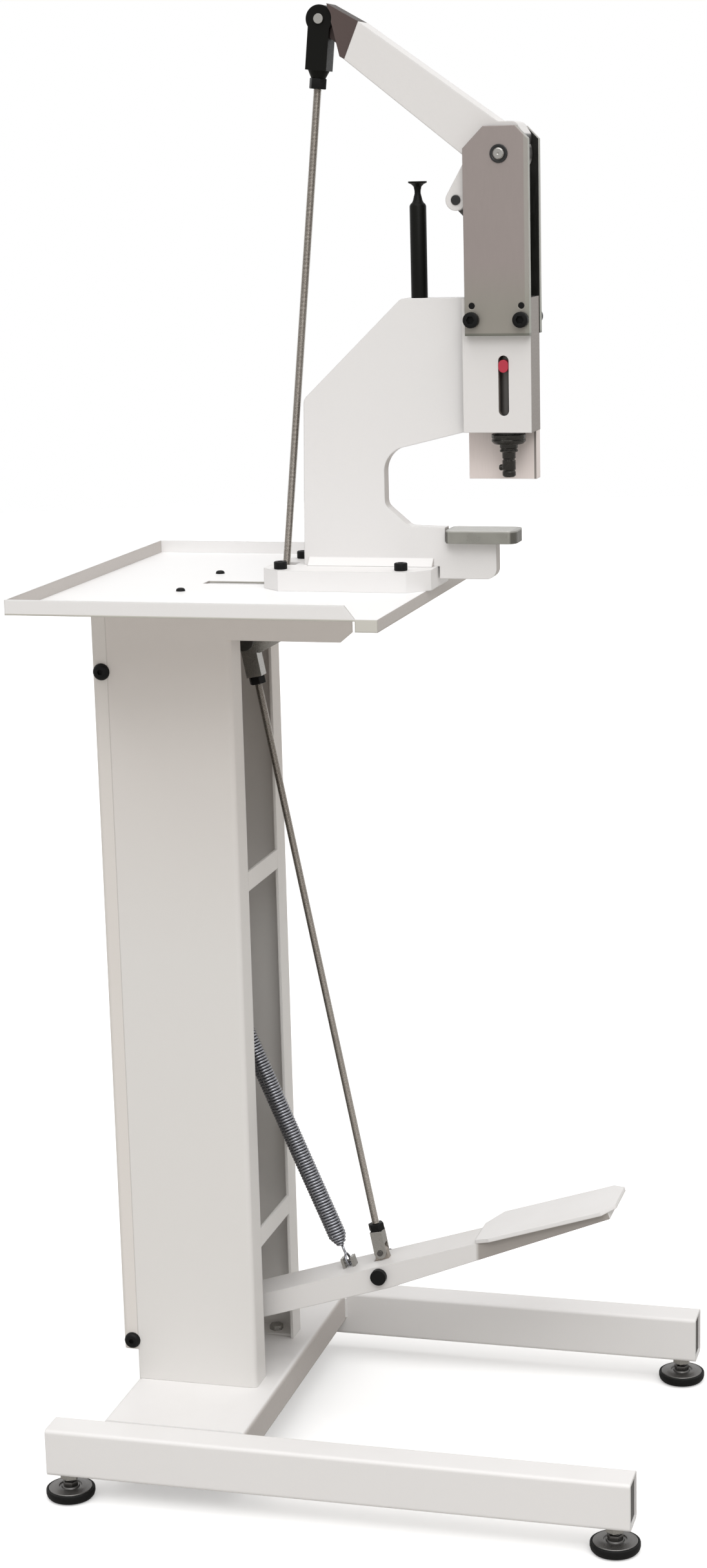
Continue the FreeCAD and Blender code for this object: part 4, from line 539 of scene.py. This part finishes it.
def within(material, axis, low, high, soft=0.0003):
    """A mask that is 1 between two object coordinates and fades over a soft width beyond them."""
    tree = material.node_tree
    place = add(tree, "ShaderNodeTexCoord")
    split = add(tree, "ShaderNodeSeparateXYZ")
    rise = add(tree, "ShaderNodeMapRange", From_Min=low - soft, From_Max=low)
    fall = add(tree, "ShaderNodeMapRange", From_Min=high + soft, From_Max=high)
    product = add(tree, "ShaderNodeMath", operation="MULTIPLY")
    wire(tree, (place.outputs["Object"], split.inputs[0]),
         (split.outputs[axis], rise.inputs["Value"]), (split.outputs[axis], fall.inputs["Value"]),
         (rise.outputs[0], product.inputs[0]), (fall.outputs[0], product.inputs[1]))
    return product.outputs[0]


def both_of(material, first, second):
    """Where two masks meet."""
    product = add(material.node_tree, "ShaderNodeMath", operation="MULTIPLY")
    wire(material.node_tree, (first, product.inputs[0]), (second, product.inputs[1]))
    return product.outputs[0]


def socket_head(bm, rings, key, depth, place, knurl=0.0):
    """A screw head standing up from z 0: rings are (radius, height) pairs from the crown down.

    The crown is inset to a hexagon and sunk to make the socket for the key.
    """
    sides = 48
    fresh = bmesh.new()
    crown_radius, crown_height = rings[0]
    bmesh.ops.create_circle(fresh, cap_ends=True, radius=crown_radius, segments=sides,
                            matrix=Matrix.Translation((0, 0, crown_height)))
    crown = fresh.faces[:][0]
    edge = list(crown.edges)
    for step, (radius, height) in enumerate(rings[1:]):
        rim, edge = grow(fresh, edge)
        for vertex in rim:
            angle = angle_of(vertex)
            tooth = round(angle / math.tau * sides) % 2
            reach = radius - (knurl * tooth if step >= 2 else 0.0)
            vertex.co = (reach * math.cos(angle), reach * math.sin(angle), height)
    bmesh.ops.inset_region(fresh, faces=[crown], thickness=(crown_radius - key / 2) * 0.5,
                           use_even_offset=True)
    for vertex in crown.verts:
        angle = angle_of(vertex)
        off_flat = (angle + math.pi / 6) % (math.pi / 3) - math.pi / 6
        reach = key / 2 / math.cos(off_flat)
        vertex.co.x, vertex.co.y = reach * math.cos(angle), reach * math.sin(angle)
    sunk = bmesh.ops.extrude_discrete_faces(fresh, faces=[crown])["faces"][0]
    bmesh.ops.translate(fresh, verts=sunk.verts, vec=(0, 0, -depth))
    merge_into(bm, fresh, place)


def facing(axis, spot):
    """The place of something that stands up along an axis: +x, -x or +z."""
    turns = {"+x": Matrix.Rotation(math.pi / 2, 4, "Y"),
             "-x": Matrix.Rotation(-math.pi / 2, 4, "Y"), "+z": Matrix()}
    return Matrix.Translation(spot) @ turns[axis]


column_white = powder_coat("column_powder_coat", (0.80, 0.785, 0.765), drift=0.014)
# Painted shade: the inside of the column, between its sides and lips, is painted a little darker.
inside = both_of(column_white, within(column_white, "X", -INSIDE_X, INSIDE_X),
                 within(column_white, "Y", *INSIDE_Y, soft=0.0005))
tint(column_white, inside, (0.36, 0.335, 0.305), 0.2)
under_tray = within(column_white, "Z", SHADE_LOW, SHADE_HIGH, soft=SHADE_FADE)
tint(column_white, under_tray, (0.74, 0.675, 0.63), 0.55)
# Painted shade: the rear cover is a warmer, slightly darker copy of the column's white, for the
# shade it stands in.
cover_paint = powder_coat("cover_powder_coat", (0.80, 0.765, 0.73), worn=(0.66, 0.62, 0.57),
                          roughness=0.42, drift=0.015)
for name in ("column_left", "column_right", "column_crossbars"):
    coat(name, column_white)
coat("rear_cover", cover_paint)
for name in ("column_bolts", "pivot_shafts", "shaft_spacers"):
    coat(name, zinc)
black_oxide = finish_of("black_oxide", (0.006, 0.006, 0.006), (0.06, 0.06, 0.055), 0.48,
                        metallic=0.1, edge=0.0005, wear=0.35, drift=0.2, tooth=1300.0,
                        patch=160.0, specular=0.16)
domes = bmesh.new()
for height in SHAFT_HEIGHTS:
    for axis, x in (("-x", -SIDE_X), ("+x", SIDE_X)):
        socket_head(domes, DOME, DOME_KEY, DOME_DEPTH, facing(axis, (x, SHAFT_Y, height)))
piece(domes, "domed_bolts", black_oxide, "frame", "black_oxide", "pivot_bolt_heads")

# --- Tray and its support ---------------------------------------------------------------------
# A folded sheet tray with a raised rim on three sides, white, lying on a steel support; two small
# black button screws hold it down.
FOLD, TRAY_TOP = 0.0115, 0.912
BUTTON_X, BUTTON_Y, BUTTON_KEY, BUTTON_DEPTH = 0.063, 0.1745, 0.003, 0.002
BUTTON = ((0.0024, 0.0030), (0.0033, 0.0027), (0.0041, 0.0020), (0.0045, 0.0010), (0.0046, 0.0))
tray_white = powder_coat("tray_powder_coat", (0.86, 0.85, 0.845), worn=(0.70, 0.68, 0.65),
                         roughness=0.38, edge=0.0022, wear=0.22, drift=0.010, dusty=0.12)
# Painted shade: faces that look to the front, such as the front fold, are painted a darker
# brownish grey.
tint(tray_white, turned_to(tray_white, FRONT), (0.42, 0.375, 0.34), 0.75)
# Painted light: faces that look up are painted lighter.
tint(tray_white, turned_to(tray_white, (0, 0, 1), 0.9, 0.98), (0.95, 0.95, 0.955), 0.8)
tray_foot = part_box("tray")[0].z
# Painted shade: the outer faces of the side folds are painted a darker greyish tone.
for side in (-1, 1):
    shaded_side_fold = both_of(tray_white, turned_to(tray_white, (side, 0, 0)),
                        within(tray_white, "Z", tray_foot, tray_foot + FOLD))
    tint(tray_white, shaded_side_fold, (0.585, 0.57, 0.51), 0.85)
coat("tray", tray_white)
coat("tray_support", white)
buttons = bmesh.new()
for x in (-BUTTON_X, BUTTON_X):
    socket_head(buttons, BUTTON, BUTTON_KEY, BUTTON_DEPTH, facing("+z", (x, BUTTON_Y, TRAY_TOP)))
piece(buttons, "tray_buttons", black_oxide, "frame", "black_oxide", "tray_screws")

# --- C-frame ----------------------------------------------------------------------------------
# A 16 mm plate cut to a C, welded upright on a flange, all white; four black socket cap screws
# hold the flange through the tray. The anvil plate is bare ground steel.
FLANGE_TOP, CAP_X, CAP_Y = 0.932, 0.040, (0.078, -0.044)
SMALL_CAP = ((0.0056, 0.0075), (0.0062, 0.0072), (0.0065, 0.0066), (0.0065, 0.0006), (0.0062, 0.0))
SMALL_KEY, CAP_DEPTH, SMALL_KNURL = 0.006, 0.004, 0.0003
ANVIL_FRONT, ANVIL_REAR, ANVIL_HIGHLIGHT = 0.0045, 0.0020, 0.0012
coat("base_flange", white)
# The C-frame takes the base's paint, with the same painted shade on its faces that look to the
# front.
coat("c_frame", base_paint)
flange_caps = bmesh.new()
for x in (-CAP_X, CAP_X):
    for y in CAP_Y:
        socket_head(flange_caps, SMALL_CAP, SMALL_KEY, CAP_DEPTH, facing("+z", (x, y, FLANGE_TOP)),
                    knurl=SMALL_KNURL)
piece(flange_caps, "flange_cap_screws", black_oxide, "frame", "black_oxide", "flange_screws")
ground = finish_of("ground_anvil", (0.32, 0.315, 0.285), (0.55, 0.54, 0.52), 0.36, metallic=0.85,
                   edge=0.0008, drift=0.10, stretch=(60.0, 2.0, 2.0), tooth=30.0,
                   tooth_depth=0.00002, spread=0.12)
anvil_low, anvil_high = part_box("anvil_plate")
# Painted shade: the front and rear ends of the plate are painted near black, as rounded ends in
# shade.
for low, high in ((anvil_low.y, anvil_low.y + ANVIL_FRONT),
                  (anvil_high.y - ANVIL_REAR, anvil_high.y)):
    tint(ground, within(ground, "Y", low, high, soft=0.0015), (0.045, 0.042, 0.036), 0.7)
# Painted highlight: the top of the plate and a thin band along its upper edge are painted lighter.
tint(ground, within(ground, "Z", anvil_high.z - ANVIL_HIGHLIGHT, anvil_high.z, soft=0.0006),
     (0.62, 0.61, 0.58), 0.5)
coat("anvil_plate", ground)

# --- Head -------------------------------------------------------------------------------------
# The block that guides the ram is white at its sides; the rest of it is painted near black as
# shade, for its slot and the gap between the plates, and its front is grey-brown. A pale zinc
# plate stands at its right, and two grey side plates are held by black cap screws and dowels and
# carry the lever's pin.
PLATE_FACE, PLATE_INSIDE, SIDE_CAP_Y, SIDE_CAP_Z = 0.029, 0.0203, (-0.116, -0.164), 1.170
UNSHADED_SKIN, GUIDE_SHADE_STRIP = 0.001, (0.0004, 0.0022)
PLATE_FRONT, PLATE_FOOT, PLATE_LOW_PART = (0.0002, 0.0035), 0.0020, (0.001, 0.028)
LARGE_CAP = ((0.0066, 0.0080), (0.0072, 0.0077), (0.0075, 0.0070), (0.0075, 0.0006), (0.0072, 0.0))
LARGE_KEY, LARGE_KNURL = 0.007, 0.00035
SHADOW, PLATE_LOW_REFLECTION = (0.02, 0.02, 0.018), (0.27, 0.28, 0.225)
head_paint = powder_coat("head_powder_coat", (0.80, 0.785, 0.775), worn=(0.62, 0.60, 0.57),
                         edge=0.0012)
head_low, head_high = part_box("head_block")
# Painted shade: all of the block but the thin skin of its two sides is painted near black.
shaded_core = within(head_paint, "X", head_low.x + UNSHADED_SKIN, head_high.x - UNSHADED_SKIN)
tint(head_paint, shaded_core, SHADOW, 0.95)
tint(head_paint, turned_to(head_paint, FRONT), (0.26, 0.225, 0.20), 0.9)
coat("head_block", head_paint)
grey_plate = finish_of("grey_side_plate", (0.335, 0.29, 0.275), (0.62, 0.60, 0.58), 0.40,
                       metallic=0.35, edge=0.0012, wear=0.45, drift=0.10,
                       stretch=(60.0, 60.0, 3.0), tooth=20.0, tooth_depth=0.00002, spread=0.12)
plate_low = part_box("side_plates")[0]
lit_front_edge = within(grey_plate, "Y", *(plate_low.y + reach for reach in PLATE_FRONT), soft=0.001)
foot_shadow_line = within(grey_plate, "Z", plate_low.z, plate_low.z + PLATE_FOOT, soft=0.0006)
low_part = within(grey_plate, "Z", *(plate_low.z + reach for reach in PLATE_LOW_PART), soft=0.04)
# Painted highlight: the plates' front faces and a strip along their front edge are painted
# lighter, where the edge catches the light.
tint(grey_plate, turned_to(grey_plate, FRONT), (0.37, 0.38, 0.33), 0.8)
tint(grey_plate, lit_front_edge, (0.40, 0.41, 0.37), 0.45)
# Painted shadow: a thin dark line along the foot of the plates.
tint(grey_plate, foot_shadow_line, (0.03, 0.03, 0.03), 0.8)
# Painted reflection: the lower part of the plates is painted darker and greener.
tint(grey_plate, low_part, PLATE_LOW_REFLECTION, 0.45)
# Painted shade: the plates' inner faces, between them, are painted near black.
tint(grey_plate, within(grey_plate, "X", -PLATE_INSIDE, PLATE_INSIDE), (0.010, 0.010, 0.008))
coat("side_plates", grey_plate)
guide_zinc = finish_of("guide_plate_zinc", (0.90, 0.81, 0.775), (0.74, 0.70, 0.67), 0.44,
                       metallic=0.15, edge=0.0009, wear=0.40, drift=0.09,
                       stretch=(60.0, 60.0, 3.0), tooth=20.0, tooth_depth=0.00002, spread=0.10)
guide_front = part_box("guide_plate")[0].y
# Painted shade: a thin strip just behind the plate's front edge is painted dark.
tint(guide_zinc, within(guide_zinc, "Y", *(guide_front + reach for reach in GUIDE_SHADE_STRIP)),
     (0.10, 0.09, 0.08), 0.75)
coat("guide_plate", guide_zinc)
side_caps = bmesh.new()
for y in SIDE_CAP_Y:
    for axis, x in (("-x", -PLATE_FACE), ("+x", PLATE_FACE)):
        socket_head(side_caps, LARGE_CAP, LARGE_KEY, CAP_DEPTH, facing(axis, (x, y, SIDE_CAP_Z)),
                    knurl=LARGE_KNURL)
piece(side_caps, "side_cap_screws", black_oxide, "frame", "black_oxide", "side_plate_screws")
coat("dowel_pins", black_oxide)

# --- Lever pin and clips ----------------------------------------------------------------------
# The lever's zinc-plated pin is turned, with a groove at each end for a dark spring steel ring
# that keeps it in the side plates, and a centre mark in both faces.
PIN_Y, PIN_Z = -0.144, 1.3226
PIN_END = ((0.0075, -0.0003), (0.0073, 0.0), (0.0054, 0.0), (0.0054, 0.0022), (0.0044, 0.0032),
           (0.0012, 0.0032), (0, 0.0024))
RING = ((0.0055, 0.0), (0.0083, 0.0), (0.0086, 0.0003), (0.0086, 0.0009), (0.0083, 0.0012),
        (0.0068, 0.0012), (0.0066, 0.0009), (0.0055, 0.0009), (0.0055, 0.0))
half = [(radius, PLATE_FACE + height) for radius, height in PIN_END]
pin = bmesh.new()
turned(pin, [(radius, -height) for radius, height in reversed(half)] + half)
pin.transform(facing("+x", (0, PIN_Y, PIN_Z)))
piece(pin, "turned_lever_pin", zinc, "frame", "zinc_plate", "lever_pivot_pin")
clip_steel = finish_of("clip_steel", (0.045, 0.045, 0.045), (0.45, 0.45, 0.45), 0.30,
                       metallic=0.9, edge=0.0006, drift=0.2, tooth=900.0)
rings = bmesh.new()
for axis, x in (("-x", -PLATE_FACE), ("+x", PLATE_FACE)):
    ring = bmesh.new()
    turned(ring, RING)
    merge_into(rings, ring, facing(axis, (x, PIN_Y, PIN_Z)))
piece(rings, "retaining_rings", clip_steel, "frame", "black_oxide", "pivot_clips")

# --- Stop post --------------------------------------------------------------------------------
# A blackened 16 mm post on the top of the frame, turned down to a waisted neck under a thin disc
# that the lever comes to rest above.
STOP_Y, STOP_FOOT = -0.058, 1.190
STOP = ((0, 0.0), (0.0076, 0.0), (0.0080, 0.0004), (0.0080, 0.0860), (0.0072, 0.0878),
        (0.0056, 0.0892), (0.0046, 0.0912), (0.0037, 0.0950), (0.0030, 0.0975), (0.0030, 0.1000),
        (0.0038, 0.1040), (0.0060, 0.1062), (0.0088, 0.1074), (0.0090, 0.1078), (0.0090, 0.1087),
        (0.0087, 0.1090), (0, 0.1090))
stop = bmesh.new()
turned(stop, STOP)
stop.transform(Matrix.Translation((0, STOP_Y, STOP_FOOT)))
black_steel = finish_of("black_steel", (0.005, 0.005, 0.004), (0.07, 0.07, 0.07), 0.42,
                        metallic=0.1, edge=0.0005, drift=0.2, tooth=1000.0, patch=120.0,
                        specular=0.12)
piece(stop, "turned_stop", black_steel, "frame", "black_oxide", "stop_post")

# --- Upper lever ------------------------------------------------------------------------------
# A flat steel lever, painted white, that turns on the head's pin: a crank pin below it works the
# toggle link, and the pull rod's fork hangs on the dark steel piece at its rear end.
TIP_TOP = (0, -0.5, 0.866)
lever_paint = powder_coat("lever_powder_coat", (0.80, 0.785, 0.775))
tint(lever_paint, turned_to(lever_paint, FRONT, 0.9, 0.98), SHADOW, 0.95)
dark_tip = finish_of("dark_end_piece", (0.105, 0.078, 0.073), (0.34, 0.32, 0.30), 0.50,
                     metallic=0.1, edge=0.0008, drift=0.12, tooth=700.0, specular=0.2)
# Painted shade: the end piece's top faces are painted darker.
tint(dark_tip, turned_to(dark_tip, TIP_TOP, 0.6, 0.95), (0.03, 0.025, 0.022), 0.8)
coat("lever_arm", lever_paint)
coat("crank_pin", clip_steel)
coat("lever_tip", dark_tip)

# --- Toggle link and ram ----------------------------------------------------------------------
# The link, its foot pin and the ram are oiled steel and work inside the head, where the ram
# slides up and down. A red pin on the ram shows in the head's slot how far down it is.
oiled = finish_of("oiled_steel", (0.10, 0.095, 0.09), (0.35, 0.34, 0.33), 0.42, metallic=0.9,
                  edge=0.0006, drift=0.15, tooth=900.0)
red = finish_of("red_indicator", (0.50, 0.030, 0.060), (0.60, 0.12, 0.14), 0.38, edge=0.0006,
                tooth=1200.0)
for name in ("toggle_link", "link_foot_pin", "ram"):
    coat(name, oiled)
coat("indicator_pin", red)

# --- Setting tool -----------------------------------------------------------------------------
# The upper tool is turned from dark tool steel: a grooved collar on the ram's foot, a necked
# shank and a grooved stem with a hollow end and a small side pin.
TOOL_Y, TOOL_TOP, SIDE_PIN_DROP = -0.144, 1.0605, 0.0325
TOOL = ((0, 0), (0.0160, 0), (0.0165, -0.0006), (0.0165, -0.0036), (0.0159, -0.0042),
        (0.0159, -0.0050), (0.0165, -0.0056), (0.0165, -0.0072), (0.0144, -0.0095),
        (0.0095, -0.0095), (0.0088, -0.0102), (0.0088, -0.0134), (0.0080, -0.0140),
        (0.0080, -0.0150), (0.0088, -0.0156), (0.0088, -0.0170), (0.0082, -0.0175),
        (0.0068, -0.0175), (0.0065, -0.0179), (0.0065, -0.0235), (0.0057, -0.0240),
        (0.0057, -0.0252), (0.0065, -0.0257), (0.0065, -0.0345), (0.0058, -0.0350),
        (0.0058, -0.0360), (0.0065, -0.0365), (0.0065, -0.0400), (0.0052, -0.0415),
        (0.0034, -0.0415), (0.0028, -0.0400), (0, -0.0400))
SIDE_PIN = ((0, 0), (0.0030, 0), (0.0030, 0.0083), (0.0022, 0.0095), (0.0010, 0.0095), (0, 0.0088))
tool = bmesh.new()
turned(tool, TOOL)
side_pin = bmesh.new()
turned(side_pin, SIDE_PIN, segments=20)
merge_into(tool, side_pin,
           Matrix.Translation((0, 0, -SIDE_PIN_DROP)) @ Matrix.Rotation(-math.pi / 2, 4, "X"))
tool.transform(Matrix.Translation((0, TOOL_Y, TOOL_TOP)))
tool_steel = finish_of("tool_steel", (0.045, 0.042, 0.038), (0.55, 0.53, 0.50), 0.24,
                       metallic=0.85, edge=0.0006, wear=0.8, drift=0.45, tooth=500.0,
                       patch=180.0, spread=0.12)
piece(tool, "turned_setting_tool", tool_steel, "ram_group", "black_oxide", "upper_tool")

# --- Pull rod ---------------------------------------------------------------------------------
# A zinc-plated M8 threaded rod with an eye on the transfer lever below. Its upper end is screwed
# into a black fork head on the lever's end and locked there by a nut.
PULL_EYE, PULL_JOINT = Vector((0, 0.089, 0.880)), Vector((0, 0.032, 1.450))
EYE_LENGTH, FORK_LENGTH, FORK_NUT, NUT_FLATS = 0.020, 0.054, 0.010, 0.0145
ROD_THREAD = (0.0039, 0.0032, 0.00125)
pull_length = (PULL_JOINT - PULL_EYE).length
pull_place = between(PULL_EYE, PULL_JOINT)
pull_end = pull_length - FORK_LENGTH
pull_rod = bmesh.new()
thread(pull_rod, *ROD_THREAD, EYE_LENGTH, pull_end)
pull_rod.transform(pull_place)
rod_zinc = finish_of("rod_zinc", (0.56, 0.53, 0.49), (0.75, 0.73, 0.70), 0.28, metallic=1.0,
                     edge=0.0003, drift=0.15, tooth=1500.0, tooth_depth=0.00001, patch=200.0)
# Painted shade: the roots of the rods' threads are painted a dark brown.
tint(rod_zinc, carved(rod_zinc), (0.11, 0.08, 0.06), 0.75)
piece(pull_rod, "threaded_pull_rod", rod_zinc, "pull_link", "zinc_plate", "pull_rod")
pull_lock = bmesh.new()
hexagon(pull_lock, NUT_FLATS, pull_end - FORK_NUT, pull_end)
pull_lock.transform(pull_place)
piece(pull_lock, "pull_rod_lock_nut", black_oxide, "pull_link", "black_oxide", "pull_rod_nut")
coat("pull_rod_fork", black_steel)
coat("pull_rod_pins", zinc)
coat("pull_rod_eye", zinc)

# --- Pedal rod --------------------------------------------------------------------------------
# The same rod with a zinc fork and clip pin on the pedal's lug, a black nut at each end, and an
# eye in the transfer lever above.
PEDAL_LUG, PEDAL_EYE = Vector((0, 0.00298, 0.20904)), Vector((0, 0.1265, 0.856))
CLEVIS_LENGTH, LONG_EYE, NUT_HEIGHT = 0.0235, 0.039, 0.008
pedal_length = (PEDAL_EYE - PEDAL_LUG).length
pedal_place = between(PEDAL_LUG, PEDAL_EYE)
pedal_end = pedal_length - LONG_EYE
pedal_rod = bmesh.new()
thread(pedal_rod, *ROD_THREAD, CLEVIS_LENGTH, pedal_end)
pedal_rod.transform(pedal_place)
piece(pedal_rod, "threaded_pedal_rod", rod_zinc, "pedal_link", "zinc_plate", "pedal_rod")
pedal_locks = bmesh.new()
for low in (CLEVIS_LENGTH, pedal_end - NUT_HEIGHT):
    hexagon(pedal_locks, NUT_FLATS, low, low + NUT_HEIGHT)
pedal_locks.transform(pedal_place)
piece(pedal_locks, "pedal_rod_lock_nuts", black_oxide, "pedal_link", "black_oxide",
      "pedal_rod_nuts")
coat("pedal_rod_fork", zinc)
coat("pedal_rod_pins", dull_zinc)
coat("pedal_rod_eye", zinc)

# --- Transfer lever ---------------------------------------------------------------------------
# Two zinc-plated steel plates and their spacers, in the top of the column, which pass the pedal
# rod's pull on to the pull rod.
for name in ("transfer_plates", "transfer_spacers"):
    coat(name, zinc)

# --- Pedal ------------------------------------------------------------------------------------
# A folded white channel with a wider tread plate at its front, a lug bolted through it and two
# small ears for the spring. The channel's sides are duller where the tread plate shades them.
SHADED_Y = (-0.250, -0.108)
pedal_paint = powder_coat("pedal_powder_coat", (0.80, 0.785, 0.775), worn=(0.60, 0.58, 0.55),
                          roughness=0.42, edge=0.0014, wear=0.35, drift=0.02, dusty=0.12)
for side in (-1, 1):
    shaded = both_of(pedal_paint, turned_to(pedal_paint, (side, 0, 0)),
                     within(pedal_paint, "Y", *SHADED_Y, soft=0.004))
    tint(pedal_paint, shaded, (0.30, 0.27, 0.245), 0.85)
lug_zinc = finish_of("lug_zinc", (0.36, 0.32, 0.28), (0.62, 0.60, 0.57), 0.34, metallic=0.9,
                     edge=0.0006, drift=0.14, tooth=900.0)
coat("pedal_channel", pedal_paint)
coat("footplate", white)
coat("pedal_lug", lug_zinc)
coat("spring_ears", zinc)
coat("pedal_hub", zinc)
coat("pedal_lug_bolt", black_oxide)

# --- Return spring ----------------------------------------------------------------------------
# A close-wound extension spring of 3 mm wire with tapered ends and a hook at each; its upper hook
# hangs in an eyebolt on a flat bar between the column's sides.
EAR_PIN, ANCHOR = Vector((0, 0.03905, 0.19511)), Vector((0, 0.202, 0.578))
WIRE, MEAN_RADIUS, NECK_RADIUS, COIL_PITCH = 0.0029, 0.0084, 0.0026, 0.00318
HOOK_RADIUS, HOLD, LOW_SLACK, HIGH_SLACK = 0.006, 0.0035, 0.0003, 0.0006
LEAD, TAPER, TURN_STEPS, FLAT_SHARE = 0.010, 0.012, 20, 0.25
HOOK_STEPS, HOOK_STEP, LOW_START, HIGH_START = 13, 27.5, 60, -90


def hook(centre, start, turn):
    """The points of a hook in the x-z plane: it starts at one angle and goes on by equal steps."""
    angles = [math.radians(start + step * turn) for step in range(HOOK_STEPS)]
    return [(HOOK_RADIUS * math.cos(angle), 0, centre + HOOK_RADIUS * math.sin(angle))
            for angle in angles]


spring_length = (ANCHOR - EAR_PIN).length
low_hook = HOOK_RADIUS - HOLD - LOW_SLACK
high_hook = spring_length - HOOK_RADIUS + HOLD + HIGH_SLACK
coil_low, coil_high = low_hook + HOOK_RADIUS + LEAD, high_hook - HOOK_RADIUS
path = hook(low_hook, LOW_START, -HOOK_STEP)
path.append((0, 0, low_hook + HOOK_RADIUS + WIRE))
for step in range(1, int((coil_high - coil_low) / COIL_PITCH * TURN_STEPS)):
    height = coil_low + step * COIL_PITCH / TURN_STEPS
    inward = min(1.0, min(height - coil_low, coil_high - height) / TAPER)
    radius = NECK_RADIUS + (MEAN_RADIUS - NECK_RADIUS) * inward
    angle = math.tau * step / TURN_STEPS
    across = radius * math.cos(angle) * min(1.0, inward / FLAT_SHARE)
    path.append((radius * math.sin(angle), across, height))
path += hook(high_hook, HIGH_START, HOOK_STEP)
wire_curve = bpy.data.curves.new("spring_wire", "CURVE")
wire_curve.dimensions = "3D"
wire_curve.bevel_depth = WIRE / 2
wire_curve.bevel_resolution = 1
wire_curve.use_fill_caps = True
line = wire_curve.splines.new("POLY")
line.points.add(len(path) - 1)
for point, spot in zip(line.points, path):
    point.co = (*spot, 1.0)
wound = bpy.data.objects.new("wound_wire", wire_curve)
spring_mesh = bpy.data.meshes.new_from_object(wound)
bpy.data.objects.remove(wound)
spring_mesh.transform(between(EAR_PIN, ANCHOR))
spring_mesh.shade_smooth()
spring_steel = finish_of("spring_steel", (0.30, 0.305, 0.33), (0.60, 0.60, 0.62), 0.26,
                         metallic=0.9, edge=0.0003, drift=0.12, tooth=900.0)
spring_mesh.materials.append(spring_steel)
spring = placed("coil_spring", spring_mesh)
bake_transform(spring)
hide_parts("return_spring")
coat("spring_bar", white)
coat("spring_eyebolt", zinc)
